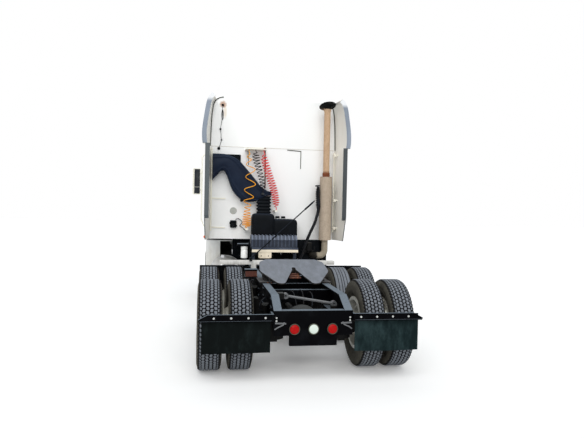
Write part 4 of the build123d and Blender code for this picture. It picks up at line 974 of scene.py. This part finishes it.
def duct():
    """Intake duct: a closed section between an upper and a lower edge, squared in depth, with five ribs.

    Both edges are smooth runs of the same length share; a rib is a narrow bell added to the depth.
    """
    upper = smooth_path([(1059, 2806), (930, 2806), (823, 2796), (700, 2752), (600, 2690), (470, 2552),
                         (336, 2396), (230, 2268), (120, 2196), (40, 2168)])
    lower = smooth_path([(1059, 2352), (985, 2440), (902, 2520), (830, 2470), (744, 2245), (690, 2150),
                         (621, 2075), (534, 2010), (420, 1990), (308, 2010)])
    turn = circle(120)
    wide, deep = squared(np.cos(turn), 0.35), squared(np.sin(turn), 0.35)
    share = (wide + 1) / 2
    ribs = sum(np.exp(-((share - middle) / 0.022) ** 2) for middle in (0.16, 0.33, 0.5, 0.67, 0.84))
    depth = 84 * deep + np.where(deep > 0, 8 * ribs, 0)
    edges = lower[:, None, :] + (upper - lower)[:, None, :] * share[None, :, None]
    axis = WALL - 92
    x = np.broadcast_to(axis - depth, edges.shape[:2])
    rings = np.concatenate([x[..., None], edges], -1)
    boot = np.stack([np.stack([axis - 82 * deep, 174 + 134 * wide, np.full(120, z)], -1)
                     for z in np.linspace(2180, 2112, 5)])
    piece("duct_shell", [capped(rings), capped(boot)], "cab", "duct_plastic", None, ["intake_duct"], 50)
    clip = stud([(0, 26), (-8, 26), (-12, 20)], (0, 0, 0), "X", 20)
    piece("duct_clips", [copies(clip, on_wall((150, 986, 2470), (170, 560, 2015)))], "cab", "dark_plastic")


def mirror_glasses():
    """Mirror glass in each head's recess, coloured dark as a painted reflection: a tall main pane and a small
    wide-angle one below.
    """
    for name, sign in HANDS:
        side = (sign * 1300, sign * 1420)
        panes = [brick((2866, 2870), side, (2330, 2714), 1.5), brick((2865, 2870), side, (2182, 2322), 1.5)]
        piece(f"mirror_glass_{name}", panes, "cab", "window_glass", "mirror_glass")


def screen_point(ahead, y, z):
    """A point a distance in front of the windscreen's leaning plane."""
    return back(150 + (z - 1950) * 150 / 840 - ahead), y, z


def screen_seal():
    """Seal round the windscreen, with cut corners."""
    side, low, high, cut = 972, 2008, 2742, 50
    corners = [(side - cut, low), (side, low + cut), (side, high - cut), (side - cut, high),
               (cut - side, high), (-side, high - cut), (-side, low + cut), (cut - side, low)]
    seal = strip([screen_point(2, y, z) for y, z in (*corners, corners[0])], 26, 14)
    piece("screen_seal", [seal], "cab", "trim_plastic", "screen_rubber")


def wipers():
    """Three wipers: an arm and a blade on a round foot."""
    forms = []
    for y in (620, 0, -620):
        arm = [screen_point(14, y, 1992), screen_point(22, y + 150, 2240)]
        blade = [(screen_point(10, y, 2040)[0], y - 60, 2050), (screen_point(10, y, 2430)[0], y + 300, 2400)]
        foot = stud([(0, 24), (26, 24), (34, 16)], screen_point(-12, y, 1990), "X", 20)
        forms += [strip(arm, 12, 18), strip(blade, 8, 14), foot]
    piece("wipers", forms, "cab", "trim_plastic", "dark_plastic")


def front_parts():
    """Mesh in the grille's six slots, the roof's marker lamps and a blank plate."""
    bars = [brick((back(84), back(78)), (-half, half), (z - 28, z + 28), 2)
            for z, half in ((1080 + 130 * row, 612 + 24 * row) for row in range(6))]
    piece("grille_mesh", bars, "cab", "trim_plastic", "dark_plastic")
    lamps = [brick((2905, 2952), (y - 48, y + 48), (2990, 3022), 8) for y in (-760, -380, 380, 760)]
    piece("roof_lamps", lamps, "cab", "lamp_lens", "amber_lens")
    plate = brick((back(6), back(1)), (-260, 260), (560, 670), 2)
    piece("number_plate", [plate], "chassis", "trim_plastic", "pale_plastic")


def wall_seals_and_shadow_lines():
    """Two strips on the rear wall, a seal, an L of dark strips that is painted shadow of a hatch recess, the
    seam's strip and the seals round the roof's rear edge.
    """
    strips = [strip(on_wall((8, 1085, z), (8, 828, z - 4)), 16, 22) for z in (2047, 1542)]
    piece("wall_strips", strips, "cab", "cream_steel")
    # First a seal, then an L of dark strips that stands in for a hatch recess's shadow line: painted shadow.
    seals = [strip(on_wall((3, *start), (3, *end)), 8, width) for start, end, width in (
        ((456, 2938), (440, 2640), 10), ((-240, 2925), (-478, 2912), 14), ((-485, 2918), (-485, 2600), 12))]
    piece("wall_seals_and_shadow_lines", seals, "cab", "trim_plastic", "seal_rubber")
    seam = strip(on_wall((2, -1128, SEAM), (2, 1128, SEAM)), 5, 6)
    piece("seam_strip", [seam], "cab", "trim_plastic", "seam_seal")
    edge = [(1104, 2950), (1097, 3220), (1088, 3430), (1076, 3560), (1060, 3660), (1034, 3722), (994, 3762),
            (944, 3788), (890, 3798)]
    roof = [strip(smooth_path(on_wall(*[(5, sign * y, z) for y, z in edge]), 5), 10, 14) for sign in (-1, 1)]
    piece("roof_edge_seals", roof, "cab", "trim_plastic", "seal_rubber")


def wall_vent():
    """Ribbed plate behind the duct's upper end, and a stepped disc below it."""
    vent = [brick((WALL, WALL - 14), (578, 1060), (2672, 2812), 5)]
    vent += [brick((WALL - 12, WALL - 20), (590, 1050), (z, z + 6), 2) for z in range(2684, 2804, 16)]
    piece("duct_back_plate", vent, "cab", "dark_plastic")
    disc = [(0, 58), (-6, 60), (-10, 56), (-10, 46), (-6, 44), (-6, 22), (-12, 20)]
    piece("wall_disc", [stud(disc, (WALL, 690, 1835), "X", 40)], "cab", "trim_plastic", "pale_plastic")


def wall_socket():
    """Socket with a round mouth, a lid and two side knobs."""
    socket = [brick((WALL, WALL - 46), (634, 742), (1540, 1668), 10),
              stud([(-40, 38), (-66, 38), (-70, 32)], (WALL, 690, 1588), "X", 32),
              brick((WALL - 40, WALL - 84), (652, 728), (1640, 1656), 5),
              brick((WALL - 20, WALL - 60), (622, 640), (1560, 1590), 5),
              brick((WALL - 20, WALL - 60), (736, 752), (1600, 1640), 5)]
    piece("wall_socket", socket, "cab", "dark_plastic")


def wall_rod():
    """Upright rod on two feet."""
    rod = [tube(on_wall((60, 159, 2936), (60, 148, 2250)), 11),
           brick((WALL, WALL - 70), (146, 174), (2926, 2944)),
           brick((WALL, WALL - 70), (136, 162), (2240, 2256))]
    piece("wall_rod", rod, "cab", "trim_plastic", "rusty_iron")


def wall_knobs():
    """Four knobs along the thin cable, and an oval handle between them."""
    loop = [(10, 906 + 13 * math.cos(a), 3490 + 82 * math.sin(a)) for a in (*circle(28), 0.0)]
    knobs = [brick((WALL, WALL - 22), (922, 952), (3226, 3256), 6),
             brick((WALL, WALL - 22), (902, 930), (3044, 3064), 6),
             stud([(0, 24), (-18, 26), (-24, 20)], (WALL, 960, 2908), "X", 20),
             brick((WALL, WALL - 20), (886, 924), (3640, 3676), 6), tube(on_wall(*loop), 5, 8)]
    piece("wall_knobs", knobs, "cab", "dark_plastic")


def extender_braces():
    """Three braces to the right extender, each a tube with a rolled sleeve at its inner end."""
    braces = []
    sleeve = [(-20, 18), (20, 18), (22, 24), (14, 26), (-14, 26), (-22, 24)]
    for z, near, far in ((2840, -1066, -1200), (2048, -1072, -1196), (1560, -1078, -1150)):
        braces.append(tube([(260, near, z), (260, far, z + 16)], 13))
        braces.append(turned(sleeve, (260, near, z), "Z", 20, closed=True))
    piece("extender_braces", braces, "cab", "cream_steel")


def wall_cables():
    """Thin cable from under the roof's edge down past the knobs, and the socket's wavy cable."""
    hung = [(905, 3572), (914, 3408), (926, 3330), (938, 3240), (924, 3150), (926, 3100), (915, 3053),
            (934, 2990), (958, 2912)]
    cord("wall_cable", on_wall((8, 905, 3650), *[(12, y, z) for y, z in hung]), 8.0, "cab")
    wavy = [(616, 1704), (573, 1685), (525, 1639), (560, 1600), (580, 1566), (520, 1545)]
    lower = [(60, 496, 1500), (160, 480, 1500), (234, 474, 1532)]
    route = on_wall((20, 648, 1684), *[(34, y, z) for y, z in wavy], *lower)
    cord("socket_cable", route, 12.0, "cab")


# Deck


def air_cleaner():
    """Air cleaner drum and box with legs and straps, its bellows boot, and two capped necks beside it."""
    front, rear, neck = back(2900), back(3200), back(3080)
    drum = fitted(ball(0.3, 40), (front, rear), (-6, 388), (1300, 1800))
    box = fitted(ball(0.3, 40), (front, rear), (-398, 30), (1300, 1712))
    rise = np.linspace(0, 1, 41)[:, None]
    swell = 0.9 + 0.1 * np.cos(rise * 2 * math.pi * 6)
    wide, deep = squared(np.cos(circle(40)), 0.5), squared(np.sin(circle(40)), 0.5)
    boot = np.stack([back(2970) + 66 * deep * swell, 172 + 130 * wide * swell, 1760 + 340 * rise + 0 * wide],
                    -1)
    legs = [brick((back(3000), back(3060)), (side - 30, side + 30), (925, 1330), 4) for side in (-380, 370)]
    straps = [strip([(rear - 5, y, 1320), (rear - 5, y, 1690)], 6, 30) for y in (60, 330)]
    piece("air_cleaner_body", [drum, box, capped(boot), *legs, *straps], "chassis", "dark_plastic",
          replaces=["air_cleaner"], angle=50)
    cap, ring = [(0, 30), (22, 30), (28, 38), (52, 38), (58, 28)], [(0, 31), (0, 40), (8, 40), (8, 31)]
    caps = [stud(cap, (neck, y, 1700), "Z", 24) for y in (-58, -157)]
    piece("cleaner_caps", caps, "chassis", "dark_plastic")
    rings = [turned(ring, (neck, y, 1712), "Z", 24, closed=True) for y in (-58, -157)]
    piece("cleaner_fittings", rings, "chassis", "tank_alloy", "bright_bolt")


def filter_bottle():
    """White filter bottle on the deck, under its head and bracket."""
    bottle = [(1057, 50), (1063, 56), (1190, 56), (1196, 52), (1200, 56), (1246, 58), (1255, 46)]
    x = FRAME_END + 3200
    piece("filter_bottle", [stud(bottle, (x, 521, 0), "Z", 40)], "chassis", "white_paint")
    head = [brick((x - 60, x + 60), (452, 640), (1255, 1300), 8),
            brick((x + 60, x + 120), (440, 470), (925, 1300))]
    piece("filter_head", head, "chassis", "frame_paint")


def spare_lines():
    """Pole for the lines, and the coiled cable and thick hose that hang from a holder beside the silencer."""
    low, high = np.array([-420.0, 441.0, 1086.0]), np.array([150.0, -691.0, 2034.0])
    ahead = high - low
    pole = [tube([low, high], 10), tube([high - 0.16 * ahead, high - 0.03 * ahead], 15),
            brick((-432, -392), (420, 462), (1040, 1100), 4)]
    piece("line_pole", pole, "chassis", "dark_plastic")
    spare = [(-758, 2290), (-760, 2180), (-762, 2060), (-770, 1960), (-774, 1860)]
    route = [(SIDE_HOSE_X, y, z) for y, z in spare]
    helix = coil(route, (24, 34, 32, 34, 26), (34, 30, 34, 30, 34), (60, 60))
    cord("side_cable", helix, 20.0, "chassis")
    hose = [(-762, 2280), (-764, 2080), (-774, 1960), (-774, 1860), (-740, 1730), (-713, 1640), (-621, 1448),
            (-549, 1258), (-490, 1070), (-440, 980), (-424, 944)]
    cord("side_hose", [(SIDE_HOSE_X, y, z) for y, z in hose], 52.0, "chassis")
    holder = brick((SIDE_HOSE_X - 16, STACK_X + 120), (-790, -740), (2290, 2312))
    piece("cable_holder", [holder], "chassis", "frame_paint")


def air_dryer():
    """Dark sheets behind the front axle and the cab as painted shade, and the air dryer with its feed and
    drain pipes.
    """
    # These dark sheets stand where there is only shade under the cab: painted shade.
    sheets = [brick((1286, 1294), (sign * 290, sign * 650), (926, 1330), 2) for sign in (-1, 1)]
    sheets.append(brick((386, 392), (-880, -470), (930, 1346), 2))
    piece("shade_sheets", sheets, "chassis", "flap_rubber", "dark_plastic")
    pot, foot = [(1150, 52), (1160, 62), (1290, 62), (1304, 50), (1310, AXIS)], [(1120, 30), (1152, 30)]
    feed = [(300, -590, 1180), (286, -560, 1120), (300, -520, 1060), (330, -480, 960)]
    drain = [(280, -680, 1170), (262, -716, 1150), (250, -730, 1180), (262, -726, 1240)]
    dryer = [stud(pot, (316, -632, 0), "Z", 32), stud(foot, (316, -632, 0), "Z", 20),
             brick((340, 384), (-660, -604), (1160, 1290), 4), tube(smooth_path(feed), 14),
             tube(smooth_path(drain), 10)]
    piece("air_dryer", dryer, "chassis", "engine_iron")


def marker_lamp():
    """Amber side lamp: a short drum with a bevelled face."""
    lamp = stud([(0, 22), (10, 22), (18, 18), (22, AXIS)], (8, 1172, 1397), "Y", 24)
    piece("marker_lamp", [lamp], "cab", "lamp_lens", "amber_lens")


def lateral_rod():
    """Rod across the frame behind the last axle, with an eye and a mount at each end."""
    eye = [(-30, 14), (30, 14), (30, 34), (-30, 34)]
    rod = [tube([(-2750, 226, 872), (-2750, -337, 780)], 15)]
    rod += [turned(eye, (-2750, side, z), "X", 24, closed=True) for side, z in ((232, 873), (-343, 779))]
    piece("lateral_rod", rod, "chassis", "axle_iron", "worn_iron")
    mounts = [brick((-2792, -2708), (252, 424), (836, 912), 6),
              brick((-2786, -2714), (-372, -314), (600, 760), 6)]
    piece("rod_mounts", mounts, "chassis", "axle_iron")


def brakes_and_dampers():
    """A brake chamber with its push rod, and a two-part damper on a pin, at each end of both drive axles."""
    pot = [(0, 62), (30, 80), (36, 92), (46, 92), (52, 80), (78, 76), (84, 86), (94, 86), (100, 72),
           (140, 60), (146, 40)]
    chambers, dampers = [], []
    for x in DRIVE_AXLES.values():
        for sign in (-1, 1):
            start = (x - 250, sign * 545, HUB + 10)
            chambers += [stud(pot, start, "X", 32), tube([start, (x - 60, sign * 560, HUB - 10)], 16)]
            foot, neck, top = ((x - away, sign * 470, z) for away, z in ((110, 470), (150, 640), (178, 780)))
            pin = [(x - 178, sign * side, 780) for side in (432, 500)]
            dampers += [tube([foot, neck], 30), tube([neck, top], 38), tube(pin, 16)]
    piece("brake_chambers", chambers, "chassis", "axle_iron")
    piece("dampers", dampers, "chassis", "axle_iron")


def small_frame_parts():
    """Rusty block with its lid on the left rail, and bent and flat bars beside the frame's end."""
    block = brick((-1460, -1360), (440, 600), (925, 1010), 6)
    piece("rusty_block", [block], "chassis", "axle_iron", "rusty_iron")
    piece("block_lid", [brick((-1470, -1350), (434, 612), (1010, 1032), 4)], "chassis", "frame_paint")
    loop = [(6, 318, 676), (16, 330, 650), (16, 392, 622), (6, 420, 600)]
    flat = [(8, 300, 662), (8, 418, 668)]
    bars = []
    for sign in (-1, 1):
        bent, straight = ([(FRAME_END - away, sign * y, z) for away, y, z in run] for run in (loop, flat))
        bars += [tube(bent, 7), strip(straight, 8, 16)]
    piece("end_bars", bars, "chassis", "frame_paint", "worn_iron")


def coupling_parts():
    """Jaw blocks and lock bars in the throat of the coupling plate, in the plate's own tilted directions.

    A point (forward, side, up) from the pivot goes to X and Z by the tilt's cosine and sine.
    """
    cosine, sine = math.cos(PLATE_TILT), math.sin(PLATE_TILT)

    def tilted(*box):
        points, faces = brick(*box)
        ahead, side, up = points.T
        x, z = PIVOT_X + ahead * cosine - up * sine, PIVOT_Z + ahead * sine + up * cosine
        return np.stack([x, side, z], 1), faces

    jaws = [tilted((-40, 60), (sign * 26, sign * 74), (18, 56), 5) for sign in (-1, 1)]
    jaws.append(tilted((60, 84), (-84, 84), (10, 58), 5))
    piece("jaw_blocks", jaws, "fifth_wheel", "worn_steel", "stand_iron")
    locks = [tilted((-70 - step, -50 - step), (-62 - step * 0.12, 62 + step * 0.12), (4, 24), 4)
             for step in (0, 60, 120)]
    piece("lock_bars", locks, "fifth_wheel", "worn_steel", "rusty_iron")


def frame_hoses():
    """Black hoses between the rails behind the coupling, and one beside the left rail."""
    hoses = {
        "between_a": [(-2270, 120, 800), (-2330, 118, 850), (-2410, 100, 884), (-2500, 78, 836),
                      (-2560, 66, 730)],
        "between_b": [(-2270, 20, 790), (-2330, 14, 852), (-2420, -8, 900), (-2510, -24, 846),
                      (-2566, -20, 738)],
        "between_c": [(-2270, -110, 800), (-2330, -122, 846), (-2410, -140, 860), (-2500, -150, 796),
                      (-2566, -120, 706)],
        "side_left": [(-2700, 440, 690), (-2740, 520, 700), (-2770, 540, 770), (-2700, 490, 830),
                      (-2600, 438, 830)],
    }
    for name, points in hoses.items():
        cord("hose_" + name, points, 16.0 if name == "side_left" else 14.0, "chassis")


# Cab inside


def cushion(x, y, z, channels=(), power=0.3, steps=72):
    """Crowned closed pad: a superellipsoid whose sides pull in between its corners, with channels across X.

    A side's share of its half width falls by a twentieth at its middle, the top rises by the product of both
    sides' parabolas, and each channel is a narrow bell taken out of the top.
    """
    along, across, upward = ball(power, steps)
    crown = 0.84 + 0.16 * (1 - along ** 2) * (1 - across ** 2)
    sewn = sum((np.exp(-((along - middle) / 0.035) ** 2) for middle in channels), 0.0 * along)
    units = (along * (0.95 + 0.05 * across ** 2), across * (0.95 + 0.05 * along ** 2),
             np.where(upward > 0, upward * (crown - 0.1 * sewn), upward))
    return fitted(units, x, y, z)


def backrest(form, foot=1850):
    """A pad made lying down, stood up facing forward and sheared back above its foot."""
    points, faces = form
    z, y, x = points.T
    return np.stack([x - (z - foot) * BACKREST_LEAN, y, z], 1), faces


def pad(name, form):
    """A padded piece in the cab."""
    made = piece(name, [form], "cab", "seat_fabric", replaces=["seats_and_bunk"], angle=80)


def seats():
    """Two seats and the bunk: plastic bases, and padded cushions with sewn channels and crowned tops."""
    for name, sign in HANDS:
        y = sign * SEAT_SIDE
        side = (y - 224, y + 224)
        base = [brick((back(1040), back(1460)), (y - 190, y + 190), (CAB_FLOOR, 1560), 14),
                brick((back(1060), back(1440)), (y - 150, y + 150), (1560, 1700), 8),
                brick((back(1030), back(1475)), (y - 215, y + 215), (1690, 1722), 8)]
        piece(f"seat_base_{name}", base, "cab", "seat_fabric", "dark_plastic", ["seats_and_bunk"], 40)
        seat = cushion((back(1475), back(1024)), side, (1716, 1848), (-0.45, 0.0, 0.45))
        pad(f"seat_cushion_{name}", seat)
        rest = cushion((1856, 2360), side, (back(1478), back(1402)), (-0.6, -0.2, 0.2, 0.6))
        pad(f"seat_back_{name}", backrest(rest))
        head = cushion((2376, 2556), (y - 130, y + 130), (back(1478), back(1406)))
        pad(f"seat_head_{name}", backrest(head))
    front = back(BUNK_FRONT)
    locker = [brick((front, 500), (-1044, 1044), (CAB_FLOOR, 1752), 10)]
    locker += [brick((front - 2, front + 4), (y - 300, y + 300), (1470, 1700)) for y in (-680, 0, 680)]
    piece("bunk_locker", locker, "cab", "seat_fabric", "trim_plastic", ["seats_and_bunk"], 40)
    pad("bunk_mattress", cushion((500, front), (-1040, 1040), (1752, 1898), (-0.5, 0.0, 0.5), 0.2, 96))


# Stage

SKY_LIGHT, SUN_LIGHT, SUN_SPREAD, FLOOR_GLOW = 0.59, 1.84, math.radians(60), 0.14


def watching(tree):
    """1 on rays from the camera and on those that metal and glass send on, else 0."""
    rays = node(tree, "LightPath").outputs
    return greater(greater(rays["Is Camera Ray"], rays["Is Glossy Ray"]), rays["Is Transmission Ray"])


def ground_plane():
    """Pale floor that the camera sees almost white."""
    half, depth = 60.0, -0.002
    mesh = bpy.data.meshes.new("floor")
    mesh.from_pydata([(x * half, y * half, depth) for x, y in ((-1, -1), (1, -1), (1, 1), (-1, 1))], [],
                     [(0, 1, 2, 3)])
    floor = bpy.data.objects.new("floor", mesh)
    bpy.context.scene.collection.objects.link(floor)
    ground = bpy.data.materials.new("floor")
    ground.use_nodes = True
    watched = watching(ground.node_tree)
    plug(ground.node_tree.nodes["Principled BSDF"], {
        "Roughness": 0.9, "Base Color": mixed(watched, (0.78, 0.78, 0.77, 1), WHITE), "Emission Color": WHITE,
        "Emission Strength": times(watched, FLOOR_GLOW)})
    mesh.materials.append(ground)


def lights():
    """Soft sun and pale sky; what the camera sees of the sky is plain white."""
    scene = bpy.context.scene
    world = bpy.data.worlds.new("world")
    scene.world = world
    world.use_nodes = True
    tree = world.node_tree
    tree.nodes.clear()
    plain = node(tree, "Background", {"Color": WHITE, "Strength": 1.0}).outputs[0]
    light = node(tree, "Background", {"Color": (0.93, 0.97, 1.0, 1), "Strength": SKY_LIGHT}).outputs[0]
    mix = node(tree, "MixShader", {0: watching(tree), 1: light, 2: plain}).outputs[0]
    node(tree, "OutputWorld", {"Surface": mix})

    sun = bpy.data.lights.new("sun", "SUN")
    sun.energy, sun.angle, sun.color = SUN_LIGHT, SUN_SPREAD, (1.0, 0.985, 0.96)
    lamp = bpy.data.objects.new("sun", sun)
    lamp.rotation_mode = "QUATERNION"
    lamp.rotation_quaternion = Vector((0.75, -0.15, -0.62)).to_track_quat("-Z", "Y")
    scene.collection.objects.link(lamp)
    scene.view_settings.view_transform = "Standard"


camera()
air_lines()
ground_plane()
lights()
tyres()
wheel_nuts()
bolts()
rear_lamps()
mudflaps()
duct()
mirror_glasses()
screen_seal()
wipers()
front_parts()
wall_seals_and_shadow_lines()
wall_vent()
wall_socket()
wall_rod()
wall_knobs()
extender_braces()
wall_cables()
air_cleaner()
filter_bottle()
spare_lines()
air_dryer()
marker_lamp()
lateral_rod()
brakes_and_dampers()
small_frame_parts()
coupling_parts()
frame_hoses()
seats()
